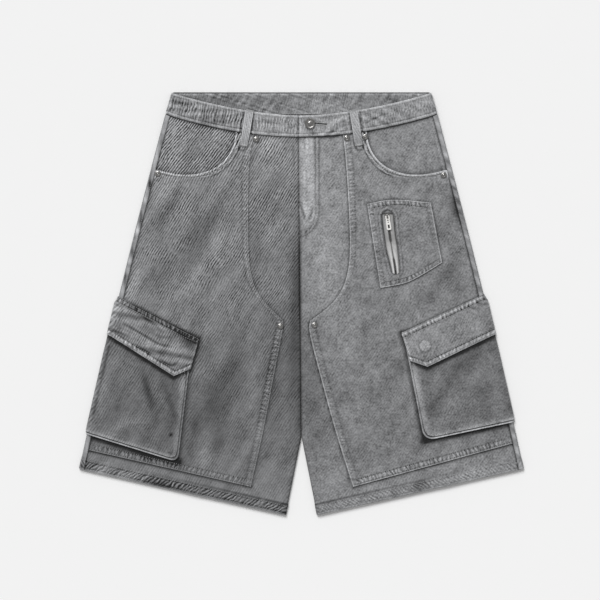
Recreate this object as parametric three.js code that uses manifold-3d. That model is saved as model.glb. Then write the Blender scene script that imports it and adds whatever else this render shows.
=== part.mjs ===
// Cargo shorts in washed denim, laid flat on their back. Millimetres, +Z up, underside on z = 0.
// +X runs to the wearer's left, +Y runs to the waist, and the origin is under the middle of the garment.
import * as THREE from 'three';
import * as BufferGeometryUtils from 'three/addons/utils/BufferGeometryUtils.js';
import Module from 'manifold-3d';

const wasm = await Module();
wasm.setup();

// Flat measures of the garment
const waist = { half: 195, top: 316.5, frontDip: 35, sideDip: 1, foldDip: 0.5, dipPower: 1.7 };
const waistSeam = { sideY: 283, centreY: 249, backY: 283.2, power: 1.9, curveShare: 0.3 };
const hem = { outerHalf: 333, outerY: -247.5, innerY: -317 };
const hipBulge = 4;
const centreFront = { atWaist: -4, legsPartY: -200, legSpread: 0.2 };
const inseamCurl = { y: -9, length: 30 };

// Cloth and layers
const denim = 1.3;
const doubled = 1.2;
const seamGap = 0.3;
const foldRadius = 2.5;
const facingThickness = 1;
const bandThickness = 2.4;
const bandRadius = 3.25;
const bandLift = 1.6;
const outseamInset = 7.5;
const frontLap = { rise: 1.6, column: 2, y: 84, length: 20 };
const waistFade = { from: 0.03, length: 0.07 };
const foldFade = { side: 6, sideLength: 18, middle: 2, middleLength: 12, waistY: 312.5, waistLength: 60 };

// Levels above the front panel's surface
const level = {
  overlay: [seamGap, 1.5],
  gusset: [1.8, 4.2],
  face: [4.5, 5.7],
  flap: [6.1, 7.5],
  patch: [1.8, 3.0],
  tape: [1.8, 2.5],
};
const sideLevel = { gusset: [0.3, 1.5], face: [1.8, 3.0], flap: [3.3, 4.6] };

// Shares of a row across the front, and of the quarter turn at the inseam
const columnsAcross = [0, 0.06, 0.12, 0.165, 0.22, 0.28, 0.35, 0.43, 0.51, 0.59, 0.67, 0.75, 0.83, 0.91, 1];
const turnColumns = [0.96, 0.64, 0.32];
const turnAngle = Math.PI / 2;
const rowsDown = 26;

// Shares of a row across the back, and the steps of its turn round the side fold
const backAcross = [0, 0.12, 0.25, 0.38, 0.51, 0.64, 0.77, 0.89, 1];
const wrapSteps = 6;
const wrapTopAngle = Math.PI * 0.6;
const backRows = 16;

// Cuts run past the cloth's edges to these places
const past = { waistY: 300, scoopX: 260, sideX: 345, low: -5, high: 40, corner: 260, up: 400 };

// Soft folds of the fronts: centre, run of the fold in degrees, half length, half width, height
const folds = [
  { x: -60, y: 190, turn: 62, length: 60, width: 15, height: 0.5 },
  { x: -150, y: 120, turn: 70, length: 75, width: 20, height: 0.8 },
  { x: -110, y: 40, turn: 58, length: 70, width: 20, height: -0.7 },
  { x: -28, y: 60, turn: 84, length: 80, width: 13, height: 0.8 },
  { x: -52, y: -90, turn: 78, length: 90, width: 14, height: 0.9 },
  { x: -95, y: -170, turn: 82, length: 70, width: 16, height: -0.6 },
  { x: -150, y: -262, turn: 76, length: 40, width: 20, height: 0.7 },
  { x: -210, y: 60, turn: 66, length: 55, width: 17, height: 0.6 },
  { x: 45, y: 60, turn: 96, length: 75, width: 13, height: 0.6 },
  { x: 70, y: -20, turn: 120, length: 60, width: 18, height: 0.7 },
  { x: 120, y: -150, turn: 100, length: 90, width: 20, height: 0.8 },
  { x: 62, y: -200, turn: 104, length: 70, width: 15, height: 0.7 },
  { x: 150, y: 190, turn: 105, length: 45, width: 18, height: 0.5 },
  { x: 225, y: 90, turn: 112, length: 60, width: 16, height: 0.7 },
  { x: 215, y: -262, turn: 102, length: 35, width: 20, height: 0.7 },
  { x: 110, y: 0, turn: 108, length: 40, width: 20, height: -0.6 },
];

// Inner edge of each double-knee overlay: distance from the middle at each height
const kneeEdge = [
  { y: 262, right: 67, left: 61 },
  { y: 224, right: 78, left: 66 },
  { y: 149, right: 80, left: 71 },
  { y: 73, right: 79.5, left: 73.7 },
  { y: 37, right: 74.5, left: 68 },
  { y: 12, right: 64, left: 57 },
  { y: -8, right: 46, left: 38 },
  { y: -26, right: 27, left: 13 },
  { y: -40, right: 27.5, left: 10.5 },
  { y: -110, right: 41.5, left: 28.6 },
  { y: -191, right: 56.5, left: 50.7 },
  { y: -275, right: 75.6, left: 77.5 },
];
const kneeHem = { right: -218, left: -208 };
const kneeHemRise = 1.5;

// Scoop openings and the facings under them: an upright inner edge, a curve, a run out to the side
const scoop = { innerX: 98.5, innerY: 253, curve: [[100, 206], [150, 180], [213, 199.5]], outerY: 206 };
const facing = { innerX: 84, innerY: 245, curve: [[90, 190], [150, 164], [216, 184]], outerY: 192 };
const fly = { innerX: -3.6, foot: [-3, 112], curve: [[10, 114], [20, 124], [20, 146]] };

// Waistband: places along its front, back and lapped end, and how its seam edge spreads
const bandFront = [34, 20, 8, -6, -22, -45, -70, -98, -126, -154, -178];
const bandBack = [-170, -118, -60, 0, 60, 118, 170];
const bandUnder = [178, 154, 126, 98, 76, 64, 49, 40, 28, 16, 6, -3.4];
const bandSpread = { front: 1.015, back: 1.02 };
const bandLap = { end: 48, riseX: 66, length: 15 };
const bandTurnSteps = 6;
const bandRowsAcross = 4;

// Cargo pockets: inner top, inner bottom, then the heights where they reach the side fold
const cargo = {
  right: {
    flap: { top: [-152, -52], bottom: [-166, -98], outerTop: 11, outerBottom: -47 },
    point: [-191, -109],
    body: { top: [-164, -66], bottom: [-185, -238], outerTop: -6, outerBottom: -196 },
    corner: 14,
  },
  left: {
    flap: { top: [149.5, -44], bottom: [163, -86], outerTop: 14.5, outerBottom: -47 },
    point: [189, -95],
    body: { top: [156, -62], bottom: [184, -206], outerTop: -4, outerBottom: -178 },
    corner: 18,
  },
};
const gussetWidth = 17;
const gussetShow = 3.2;
const wrapAngle = 1.85;
const wrapDistances = [40, 24, 14, 9, 6, 4, foldRadius, 1, -0.4, foldRadius * (1 - wrapAngle)];
const flatReach = 55;
const sideFade = 6;
const pocketGrid = { rows: 8, flapRows: 10, columns: 17 };
const facePuff = { height: 1.2, from: 0.35, length: 0.25 };
const flapCrease = { height: 1.1, at: 0.55, width: 0.09 };
const flapRiseShare = 0.2;
const flapSpare = { inner: 12, below: 4, outer: 6, fold: 1, sideFall: 1, above: 20 };

// Zip patch pocket on the left thigh
const patchCorners = [[98.4, 149], [135, 157], [194, 151], [211, 61], [177, 40], [156, 29.5], [118.5, 23]];
const zipSlot = [[128.7, 141], [119.4, 136], [120.5, 120], [125.5, 85], [132.5, 58], [135.5, 44.5],
  [147.5, 44.5], [147.2, 58], [145, 80], [140.5, 112], [138.8, 136]];
const slotEase = { step: 0.45, upright: 3, narrow: 0.15 };
const patchBox = { x: [94, 216], y: [18, 162] };
const patchGrid = [7, 8];
const patchGap = 0.12;

// Zip slider and pull tab, each round the middle of the slider with the zip running down
const zipTop = [128.6, 131];
const zipBottom = [141, 46];
const sliderForm = {
  body: [[-3, 3.5], [-4.2, 2], [-4.2, -1], [-2.6, -5.5], [2.6, -5.5], [4.2, -1], [4.2, 2], [3, 3.5]],
  thickness: 1.8,
  bail: [[-3, 0], [3, 0], [3, 3.2], [1.6, 4.1], [-1.6, 4.1], [-3, 3.2]],
  bailHalf: 0.9,
  bailHole: [[-1.2, 1.8], [1.2, 1.8], [1.2, 3.2], [-1.2, 3.2]],
  bailLift: 0.1,
};
const pullForm = {
  plate: [[-3.2, 0.5], [-3.2, -4], [-2.6, -6], [-3.1, -10], [-3.4, -19], [-2.4, -21],
    [2.4, -21], [3.4, -19], [3.1, -10], [2.6, -6], [3.2, -4], [3.2, 0.5]],
  from: 2.2,
  to: 3,
  bailWindow: [[-1.5, -0.5], [1.5, -0.5], [1.5, -4.2], [-1.5, -4.2]],
  endWindow: [[-1.3, -13], [1.3, -13], [1.5, -18.5], [-1.5, -18.5]],
  holes: [{ y: -6.3, radius: 1.1 }, { y: -9.4, radius: 0.9 }],
};

// Trim
const loopSize = { width: 12, back: 48 };
const frontLoops = { right: [[-77.1, 289.5], [-86.8, 234.8]], left: [[77.8, 290], [86.4, 235.5]] };
const backLoops = { right: -118, centre: 0, left: 118 };

// Share of the way down a front loop, and its rise there over the band
const loopArch = [[0, 0], [0.08, 0.2], [0.3, 1.2], [0.55, 1.4], [0.8, 0.9], [0.93, 0.25], [1, 0]];

const button = { x: 12.8, y: 269.5, radius: 8, shank: 3.2, headGap: 0.4, shankDown: 0.6, shankFoot: 0.1 };
const buttonhole = { end: 38, width: 3, turn: -0.09, ease: 0.6, mouth: 0.5, depth: 12, below: 0.2 };

// Turned profiles: share of the radius, height above the base
const buttonHead = [[0.9, 0], [1, 0.8], [0.97, 2], [0.82, 2.6], [0.66, 2.1], [0.5, 1.9], [0.4, 2.5], [0.2, 2.9],
  [0, 3]];
const rivetHead = [[0, 0], [1, 0], [1, 0.5], [0.8, 1.3], [0.5, 1.6], [0.34, 1.5], [0.22, 2.1], [0, 2.3]];
const rivetRadius = 4.6;
const rivetsByBandY = 230;
const rivets = [
  { x: -67.8, y: 246 },
  { x: 68, y: 247.5 },
  { x: 95.6, y: 249.5 },
  { x: -215, y: 194.5 },
  { x: 213.2, y: 192.3 },
  { x: -31.5, y: -34 },
  { x: 19.5, y: -32.5 },
];

const finishes = {
  denimDark: new THREE.MeshStandardMaterial({ color: 0x5f6062, roughness: 0.95, metalness: 0 }),
  denimLight: new THREE.MeshStandardMaterial({ color: 0x76777a, roughness: 0.95, metalness: 0 }),
  tape: new THREE.MeshStandardMaterial({ color: 0xb4b5b6, roughness: 0.85, metalness: 0 }),
  nickel: new THREE.MeshStandardMaterial({ color: 0x8b8b89, roughness: 0.35, metalness: 1 }),
  silver: new THREE.MeshStandardMaterial({ color: 0xd9d9d7, roughness: 0.25, metalness: 1 }),
};

const shorts = new THREE.Group();
const sides = [{ name: 'right', sign: -1 }, { name: 'left', sign: 1 }];

const mix = (a, b, t) => a + (b - a) * t;
const clamp01 = (t) => Math.min(1, Math.max(0, t));
const smooth = (t) => clamp01(t) ** 2 * (3 - 2 * clamp01(t));

// Half width of the laid garment at a height
function halfWidth(y) {
  const t = (waist.top - y) / (waist.top - hem.outerY);
  return mix(waist.half, hem.outerHalf, t) + 4 * hipBulge * t * (1 - t);
}

// Where the two legs, or the two fronts, meet
function innerEdge(sign, y) {
  const down = clamp01((waistSeam.centreY - y) / (waistSeam.centreY - centreFront.legsPartY));
  const middle = mix(centreFront.atWaist, 0, down);
  const spread = Math.max(0, centreFront.legsPartY - y) * centreFront.legSpread;
  return middle + sign * (seamGap / 2 + spread);
}

// The raised part of the side fold and of the front, near the waistband that lies on the back loops
function waistRise(q) {
  return bandLift * (1 - smooth((q - waistFade.from) / waistFade.length));
}

// Both ends of one row across a leg, q = 0 at the waist seam and q = 1 at the hem
function rowEnds(sign, q, innerTop) {
  const outerY = mix(waistSeam.sideY, hem.outerY, q);
  const innerY = mix(innerTop, hem.innerY, q);
  const outer = new THREE.Vector2(sign * halfWidth(outerY), outerY);
  const inner = new THREE.Vector2(innerEdge(sign, innerY), innerY);
  const across = outer.clone().sub(inner);
  return { inner, outer, length: across.length(), across: across.normalize() };
}

// Place on the front's row at a distance from its inner end
function alongFrontRow(sign, q, distance) {
  const { inner, outer, length } = rowEnds(sign, q, waistSeam.centreY);
  const power = 1 + (waistSeam.power - 1) * Math.max(0, 1 - q / waistSeam.curveShare);
  const f = distance / length;
  return [mix(inner.x, outer.x, f), mix(inner.y, outer.y, f ** power)];
}

// Height of the soft folds at a place
function foldHeight(x, y) {
  let height = 0;
  for (const fold of folds) {
    const run = THREE.MathUtils.degToRad(fold.turn);
    const along = (x - fold.x) * Math.cos(run) + (y - fold.y) * Math.sin(run);
    const beside = (y - fold.y) * Math.cos(run) - (x - fold.x) * Math.sin(run);
    height += fold.height * Math.exp(-((along / fold.length) ** 2) - (beside / fold.width) ** 2);
  }
  return height;
}

// Top of the front panels at a place, without the rise near the waistband
function frontHeight(x, y) {
  const fromSide = halfWidth(y) - Math.abs(x);
  const fromMiddle = Math.abs(x - innerEdge(Math.sign(x), y));
  const nearSide = smooth((fromSide - foldFade.side) / foldFade.sideLength);
  const nearMiddle = smooth((fromMiddle - foldFade.middle) / foldFade.middleLength);
  const nearWaist = smooth((foldFade.waistY - y) / foldFade.waistLength);
  return 2 * foldRadius + foldHeight(x, y) * nearSide * nearMiddle * nearWaist;
}

// One closed wall between an outer and an inner surface given on the same grid
function wall(rows, columns, place, outerLift, innerLift) {
  const positions = [];
  for (const lift of [outerLift, innerLift]) {
    for (let j = 0; j <= rows; j += 1) {
      for (let i = 0; i <= columns; i += 1) {
        positions.push(...place(i, j, lift));
      }
    }
  }
  const stride = columns + 1;
  const layer = stride * (rows + 1);
  const index = [];
  const quad = (a, b, c, d) => index.push(a, b, c, a, c, d);
  for (let j = 0; j < rows; j += 1) {
    for (let i = 0; i < columns; i += 1) {
      const a = j * stride + i;
      quad(a, a + stride, a + stride + 1, a + 1);
      quad(layer + a, layer + a + 1, layer + a + stride + 1, layer + a + stride);
    }
  }
  for (let i = 0; i < columns; i += 1) {
    const last = rows * stride + i;
    quad(i, i + 1, layer + i + 1, layer + i);
    quad(last, layer + last, layer + last + 1, last + 1);
  }
  for (let j = 0; j < rows; j += 1) {
    const first = j * stride;
    const last = first + columns;
    quad(first, layer + first, layer + first + stride, first + stride);
    quad(last, last + stride, layer + last + stride, layer + last);
  }
  const geometry = new THREE.BufferGeometry();
  geometry.setAttribute('position', new THREE.Float32BufferAttribute(positions, 3));
  geometry.setIndex(index);
  return facingOut(geometry);
}

// Turns a closed geometry's faces outwards, by the sign of its volume
function facingOut(geometry) {
  const p = geometry.attributes.position;
  const index = geometry.index.array;
  const [a, b, c] = [new THREE.Vector3(), new THREE.Vector3(), new THREE.Vector3()];
  let volume = 0;
  for (let t = 0; t < index.length; t += 3) {
    a.fromBufferAttribute(p, index[t]);
    b.fromBufferAttribute(p, index[t + 1]);
    c.fromBufferAttribute(p, index[t + 2]);
    volume += a.dot(b.cross(c));
  }
  if (volume < 0) {
    for (let t = 0; t < index.length; t += 3) {
      [index[t + 1], index[t + 2]] = [index[t + 2], index[t + 1]];
    }
  }
  return geometry;
}

// A closed geometry as a solid for cutting, and back
function toSolid(geometry) {
  const bare = geometry.clone();
  bare.deleteAttribute('normal');
  bare.deleteAttribute('uv');
  const merged = facingOut(BufferGeometryUtils.mergeVertices(bare, 1e-4));
  return new wasm.Manifold(new wasm.Mesh({
    numProp: 3,
    vertProperties: new Float32Array(merged.attributes.position.array),
    triVerts: new Uint32Array(merged.index.array),
  }));
}

function fromSolid(solid) {
  const mesh = solid.getMesh();
  const geometry = new THREE.BufferGeometry();
  geometry.setAttribute('position', new THREE.BufferAttribute(new Float32Array(mesh.vertProperties), 3));
  geometry.setIndex(new THREE.BufferAttribute(new Uint32Array(mesh.triVerts), 1));
  return geometry;
}

// An upright block over an outline in plan, from under the garment to above it
function block(outline) {
  const shape = outline instanceof THREE.Shape
    ? outline
    : new THREE.Shape(outline.map(([x, y]) => new THREE.Vector2(x, y)));
  const depth = past.high - past.low;
  const geometry = new THREE.ExtrudeGeometry(shape, { depth, bevelEnabled: false, curveSegments: 14 });
  return toSolid(geometry.translate(0, 0, past.low));
}

function add(name, geometry, finish) {
  const shaded = geometry.index ? geometry : BufferGeometryUtils.mergeVertices(geometry);
  shaded.computeVertexNormals();
  const mesh = new THREE.Mesh(shaded, finish);
  mesh.name = name;
  shorts.add(mesh);
}

// Outline of a scoop opening or its facing, wide enough to cut past the waist and the outseam
function scoopOutline(sign, form) {
  const shape = new THREE.Shape();
  const [first, second, end] = form.curve.map(([x, y]) => [sign * x, y]);
  shape.moveTo(sign * form.innerX, past.waistY);
  shape.lineTo(sign * form.innerX, form.innerY);
  shape.bezierCurveTo(...first, ...second, ...end);
  shape.lineTo(sign * past.scoopX, form.outerY);
  shape.lineTo(sign * past.scoopX, past.waistY);
  return shape;
}

// How far the cloth has turned under at the inseam, at the height of a row's inner end
function curlAt(innerY) {
  return smooth((inseamCurl.y - innerY) / inseamCurl.length);
}

// Point on a front panel: the first columns turn under at the inseam, the rest lie across the leg
function frontPlace(sign, raise = () => 0) {
  return (i, j, lift) => {
    const q = j / rowsDown;
    const { inner, length, across } = rowEnds(sign, q, waistSeam.centreY);
    const flat = (distance) => {
      const [x, y] = alongFrontRow(sign, q, distance);
      return [x, y, frontHeight(x, y) + waistRise(q) + lift];
    };
    const start = foldRadius;
    const end = length - outseamInset - seamGap;
    if (i >= turnColumns.length) {
      const k = i - turnColumns.length;
      const point = flat(mix(start, end, columnsAcross[k]));
      point[2] += raise(k, point[1]);
      return point;
    }
    const turn = turnColumns[i] * turnAngle;
    const uncurled = flat(start * (1 - turnColumns[i] / turnColumns[0]));
    uncurled[2] += raise(0, uncurled[1]);
    const reach = foldRadius - (foldRadius + lift) * Math.sin(turn);
    const curled = [
      inner.x + across.x * reach,
      inner.y + across.y * reach,
      waistRise(q) + foldRadius + (foldRadius + lift) * Math.cos(turn),
    ];
    return uncurled.map((value, axis) => mix(value, curled[axis], curlAt(inner.y)));
  };
}

// The wearer's left front laps over the fly and is raised there
function lapRaise(column, y) {
  const across = column <= frontLap.column ? 1 : 0;
  return frontLap.rise * across * smooth((y - frontLap.y) / frontLap.length);
}

const frontColumns = turnColumns.length + columnsAcross.length - 1;
for (const { name, sign } of sides) {
  const place = frontPlace(sign, sign > 0 ? lapRaise : undefined);
  const panel = toSolid(wall(rowsDown, frontColumns, place, 0, -denim));
  const open = block(scoopOutline(sign, scoop));
  add(`front_panel_${name}`, fromSolid(panel.subtract(open)), finishes.denimDark);

  const edge = kneeEdge.map((row) => [sign * row[name], row.y]);
  const bottomOuter = [sign * past.sideX, kneeHem[name] + kneeHemRise];
  const outline = [[edge[0][0], past.waistY], ...edge, bottomOuter, [sign * past.sideX, past.waistY]];
  const sheet = toSolid(wall(rowsDown, frontColumns, frontPlace(sign), level.overlay[1], level.overlay[0]));
  const overlay = sheet.intersect(block(outline)).subtract(open);
  add(`double_knee_${name}`, fromSolid(overlay), finishes.denimLight);
}

// Pocket facings fill the scoops from below
for (const { name, sign } of sides) {
  const under = -denim - seamGap;
  const sheet = toSolid(wall(rowsDown, frontColumns, frontPlace(sign), under, under - facingThickness));
  const area = block(scoopOutline(sign, facing));
  add(`pocket_facing_${name}`, fromSolid(sheet.intersect(area)), finishes.denimDark);
}

// Fly placket, level with the right front and under the lapped left front
const flyOutline = new THREE.Shape();
flyOutline.moveTo(fly.innerX, past.waistY);
flyOutline.lineTo(...fly.foot);
flyOutline.bezierCurveTo(...fly.curve.flat());
flyOutline.lineTo(fly.curve[2][0], past.waistY);
const flySheet = toSolid(wall(rowsDown, frontColumns, frontPlace(1), 0, -denim));
add('fly_placket', fromSolid(flySheet.intersect(block(flyOutline))), finishes.denimDark);

// Back panels lie on the floor, turn up at the inseam and wrap round the side fold to the outseam on top
function backPlace(sign) {
  return (i, j, lift) => {
    const q = j / backRows;
    const { inner, length, across } = rowEnds(sign, q, waistSeam.backY);
    const frontLength = rowEnds(sign, q, waistSeam.centreY).length;
    const floor = waistRise(q);
    const at = (distance, z) => [inner.x + across.x * distance, inner.y + across.y * distance, z];
    const flatStart = turnColumns.length;
    const wrapStart = flatStart + backAcross.length;
    if (i < flatStart) {
      const turn = turnColumns[i] * turnAngle;
      const flat = at(foldRadius * (1 - turnColumns[i] / turnColumns[0]), floor - lift);
      const reach = foldRadius - (foldRadius + lift) * Math.sin(turn);
      const curled = at(reach, floor + foldRadius - (foldRadius + lift) * Math.cos(turn));
      return flat.map((value, axis) => mix(value, curled[axis], curlAt(inner.y)));
    }
    if (i < wrapStart) {
      return at(mix(foldRadius, length - foldRadius, backAcross[i - flatStart]), floor - lift);
    }
    if (i < wrapStart + wrapSteps) {
      const turn = ((i - wrapStart + 1) / wrapSteps) * Math.PI;
      const reach = foldRadius - (foldRadius + lift) * Math.sin(turn);
      const height = floor + foldRadius - (foldRadius + lift) * Math.cos(turn);
      const onTop = turn > wrapTopAngle;
      return onTop ? [...alongFrontRow(sign, q, frontLength - reach), height] : at(length - reach, height);
    }
    return [...alongFrontRow(sign, q, frontLength - outseamInset), floor + 2 * foldRadius + lift];
  };
}

const backColumns = turnColumns.length + backAcross.length + wrapSteps;
for (const { name, sign } of sides) {
  const panel = wall(backRows, backColumns, backPlace(sign), 0, -denim);
  add(`back_panel_${name}`, panel, finishes.denimDark);
}

// Waistband: one strip from the covered end, round the back, to the lapping end at the centre front
const seamHalf = halfWidth(waistSeam.sideY);

function bandSeamY(x) {
  const middle = centreFront.atWaist;
  const f = Math.abs(x - middle) / Math.abs(Math.sign(x - middle) * seamHalf - middle);
  return waistSeam.centreY + seamGap + (waistSeam.sideY - waistSeam.centreY) * f ** waistSeam.power;
}

function bandTopY(x) {
  const fromFront = (Math.abs(x) / waist.half) ** waist.dipPower;
  return waist.top - waist.frontDip + (waist.frontDip - waist.sideDip) * fromFront;
}

const bandTurns = Array.from({ length: bandTurnSteps + 1 }, (_, k) => (k / bandTurnSteps) * Math.PI);
const bandStations = [
  ...[bandLap.end, ...bandFront].map((x) => ({ x, turn: 0 })),
  ...bandTurns.map((turn) => ({ side: -1, turn })),
  ...bandBack.map((x) => ({ x, turn: Math.PI })),
  ...bandTurns.toReversed().map((turn) => ({ side: 1, turn })),
  ...bandUnder.map((x) => ({ x, turn: 0, over: true })),
];
const bandTop = bandLift + 2 * bandRadius;

function bandPlace(i, j, lift) {
  const station = bandStations[i];
  const w = j / bandRowsAcross;
  if (station.side) {
    const reach = bandRadius - (bandRadius + lift) * Math.sin(station.turn);
    const x = station.side * (mix(seamHalf, waist.half, w) - reach);
    const y = mix(waistSeam.sideY + seamGap, waist.top - waist.foldDip, w);
    return [x, y, bandLift + bandRadius + (bandRadius + lift) * Math.cos(station.turn)];
  }
  if (station.turn > 0) {
    const backX = station.x * mix(bandSpread.back, 1, w);
    return [backX, mix(waistSeam.backY + seamGap, waist.top, w), bandLift - lift];
  }
  const seamX = station.x * bandSpread.front;
  const onLap = station.over ? smooth((bandLap.riseX - station.x) / bandLap.length) : 0;
  const raised = onLap * (bandThickness + seamGap);
  return [mix(seamX, station.x, w), mix(bandSeamY(seamX), bandTopY(station.x), w), bandTop + raised + lift];
}

const band = toSolid(wall(bandRowsAcross, bandStations.length - 1, bandPlace, 0, -bandThickness));
const hole = new THREE.Shape();
const holeRadius = buttonhole.width / 2 + buttonhole.ease;
hole.absarc(button.x, 0, holeRadius, buttonhole.mouth, Math.PI * 2 - buttonhole.mouth, false);
hole.lineTo(buttonhole.end, -buttonhole.width / 2);
hole.lineTo(buttonhole.end, buttonhole.width / 2);
const holeForm = { depth: buttonhole.depth, bevelEnabled: false, curveSegments: 10 };
const holeCut = new THREE.ExtrudeGeometry(hole, holeForm);
const lapTop = bandTop + bandThickness + seamGap;
holeCut.translate(-button.x, 0, lapTop - bandThickness - buttonhole.below);
holeCut.rotateZ(buttonhole.turn);
holeCut.translate(button.x, button.y, 0);
add('waistband', fromSolid(band.subtract(toSolid(holeCut))), finishes.denimLight);

// Upright turned body over a place, its seam and poles merged
function turned(profile, segments, x, y) {
  const points = profile.map(([radius, z]) => new THREE.Vector2(radius, z));
  const geometry = new THREE.LatheGeometry(points, segments).rotateX(Math.PI / 2);
  return fromSolid(toSolid(geometry.translate(x, y, 0)));
}

// Waist button: a turned head with a rim on a shank through the buttonhole
const headBase = lapTop + button.headGap;
const shankFoot = headBase - bandThickness - button.shankDown + button.shankFoot;
const buttonProfile = [
  [0, shankFoot],
  [button.shank / 2, shankFoot],
  [button.shank / 2, headBase],
  ...buttonHead.map(([share, rise]) => [button.radius * share, headBase + rise]),
];
add('waist_button', turned(buttonProfile, 16, button.x, button.y), finishes.nickel);

// Belt loops: front ones bridge the waist seam, back ones lie under the band on the floor
function strapAlong(from, to, width, heights, thickness) {
  const start = new THREE.Vector2(...from);
  const run = new THREE.Vector2(...to).sub(start);
  const across = new THREE.Vector2(-run.y, run.x).normalize().multiplyScalar(width / 2);
  const place = (i, j, lift) => {
    const [t, z] = heights[j];
    const beside = i * 2 - 1;
    return [start.x + run.x * t + across.x * beside, start.y + run.y * t + across.y * beside, z + lift];
  };
  return wall(heights.length - 1, 1, place, thickness, 0);
}

for (const { name } of sides) {
  const [from, to] = frontLoops[name];
  const heights = loopArch.map(([t, rise]) => [t, bandTop + seamGap + rise]);
  add(`belt_loop_front_${name}`, strapAlong(from, to, loopSize.width, heights, doubled), finishes.denimLight);
}
for (const [name, x] of Object.entries(backLoops)) {
  const heights = [[0, 0], [0.5, 0], [1, 0]];
  const from = [x, waist.top];
  const to = [x, waist.top - loopSize.back];
  add(`belt_loop_back_${name}`, strapAlong(from, to, loopSize.width, heights, doubled), finishes.denimLight);
}

// Cargo pockets: walls laid over the thigh and round the side fold
// d is the distance in from the side fold along the cloth; below the fold radius it runs round the fold
function sideLift(d, flat, side) {
  return mix(side, flat, smooth(d / sideFade));
}

function wrapPlace(sign, target, outerY, d, lift) {
  const outer = new THREE.Vector2(sign * halfWidth(outerY), outerY);
  const inward = target.clone().sub(outer).normalize();
  if (d >= foldRadius) {
    const x = outer.x + inward.x * d;
    const y = outer.y + inward.y * d;
    return [x, y, frontHeight(x, y) + lift];
  }
  const turn = (foldRadius - d) / foldRadius;
  const reach = foldRadius - (foldRadius + lift) * Math.sin(turn);
  return [
    outer.x + inward.x * reach,
    outer.y + inward.y * reach,
    foldRadius + (foldRadius + lift) * Math.cos(turn),
  ];
}

// A wall over a four-cornered area, from its inner edge to past the side fold
// flatLift and sideLiftAt give the under and the upper side's height at a share w of the way down
function pocketWall(sign, area, rows, columns, flatLift, sideLiftAt, bulge) {
  const flatSteps = columns - wrapDistances.length;
  const place = (i, j, layer) => {
    const w = j / rows;
    const target = new THREE.Vector2(mix(area.top[0], area.bottom[0], w), mix(area.top[1], area.bottom[1], w));
    const outerY = mix(area.outerTop, area.outerBottom, w);
    const outer = new THREE.Vector2(sign * halfWidth(outerY), outerY);
    const span = outer.distanceTo(target);
    const d = i <= flatSteps ? mix(span, flatReach, i / flatSteps) : wrapDistances[i - flatSteps - 1];
    const height = sideLift(d, flatLift(w)[layer], sideLiftAt(w)[layer]) + bulge(w, d / span);
    return wrapPlace(sign, target, outerY, d, height);
  };
  return toSolid(wall(rows, columns, place, 1, 0));
}

const still = () => 0;
for (const { name, sign } of sides) {
  const { flap, point, body, corner } = cargo[name];

  // Rounded inner bottom corner, shared by the gusset and, set in, by the face
  const cornerBlock = (inset) => {
    const foot = new THREE.Vector2(...body.bottom);
    const up = new THREE.Vector2(...body.top).sub(foot).normalize();
    const out = new THREE.Vector2(sign * halfWidth(body.outerBottom), body.outerBottom).sub(foot).normalize();
    const base = foot.clone().addScaledVector(up, inset).addScaledVector(out, inset);
    const shape = new THREE.Shape();
    const a = base.clone().addScaledVector(up, corner);
    const b = base.clone().addScaledVector(out, corner);
    const top = base.clone().addScaledVector(up, past.corner);
    const far = b.clone().addScaledVector(out, past.corner);
    shape.moveTo(a.x, a.y);
    shape.quadraticCurveTo(base.x, base.y, b.x, b.y);
    shape.lineTo(far.x, far.y);
    shape.lineTo(far.x, far.y + past.up);
    shape.lineTo(top.x, top.y + past.up);
    shape.lineTo(top.x, top.y);
    return block(shape);
  };

  const bodyWall = (flat, side, bulge) => (
    pocketWall(sign, body, pocketGrid.rows, pocketGrid.columns, () => flat, () => side, bulge)
  );
  const gussetSheet = bodyWall(level.gusset, sideLevel.gusset, still);
  const gusset = gussetSheet.intersect(cornerBlock(0)).subtract(cornerBlock(gussetWidth));
  add(`cargo_gusset_${name}`, fromSolid(gusset), finishes.denimDark);

  const puff = (w, f) => {
    const down = smooth((w - facePuff.from) / facePuff.length) * Math.sin(Math.PI * w);
    return facePuff.height * down * Math.sin(Math.PI * clamp01(f)) ** 2;
  };
  const faceSheet = bodyWall(level.face, sideLevel.face, puff);
  add(`cargo_face_${name}`, fromSolid(faceSheet.intersect(cornerBlock(gussetShow))), finishes.denimLight);

  // The flap is sewn to the thigh along its top edge and rises over the mouth of the pocket
  const flapArea = {
    top: flap.top,
    bottom: [point[0] - sign * flapSpare.inner, point[1] - flapSpare.below],
    outerTop: flap.outerTop,
    outerBottom: flap.outerBottom - flapSpare.outer,
  };
  const rising = (from, [low, high]) => (w) => {
    const rise = smooth(w / flapRiseShare);
    return [mix(from, low, rise), mix(from + high - low, high, rise)];
  };
  const flapFlat = rising(level.overlay[1] + seamGap, level.flap);
  const flapSide = rising(seamGap, sideLevel.flap);
  const crease = (w, f) => {
    const down = Math.exp(-(((w - flapCrease.at) / flapCrease.width) ** 2));
    return flapCrease.height * down * Math.sin(Math.PI * clamp01(f));
  };
  const { flapRows, columns } = pocketGrid;
  const flapSheet = pocketWall(sign, flapArea, flapRows, columns, flapFlat, flapSide, crease);
  const flapOutline = [
    flap.top,
    flap.bottom,
    point,
    [sign * (halfWidth(flap.outerBottom) + flapSpare.fold), flap.outerBottom],
    [sign * past.sideX, flap.outerBottom - flapSpare.sideFall],
    [sign * past.sideX, flap.outerTop + flapSpare.above],
  ];
  add(`cargo_flap_${name}`, fromSolid(flapSheet.intersect(block(flapOutline))), finishes.denimLight);
}

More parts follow.
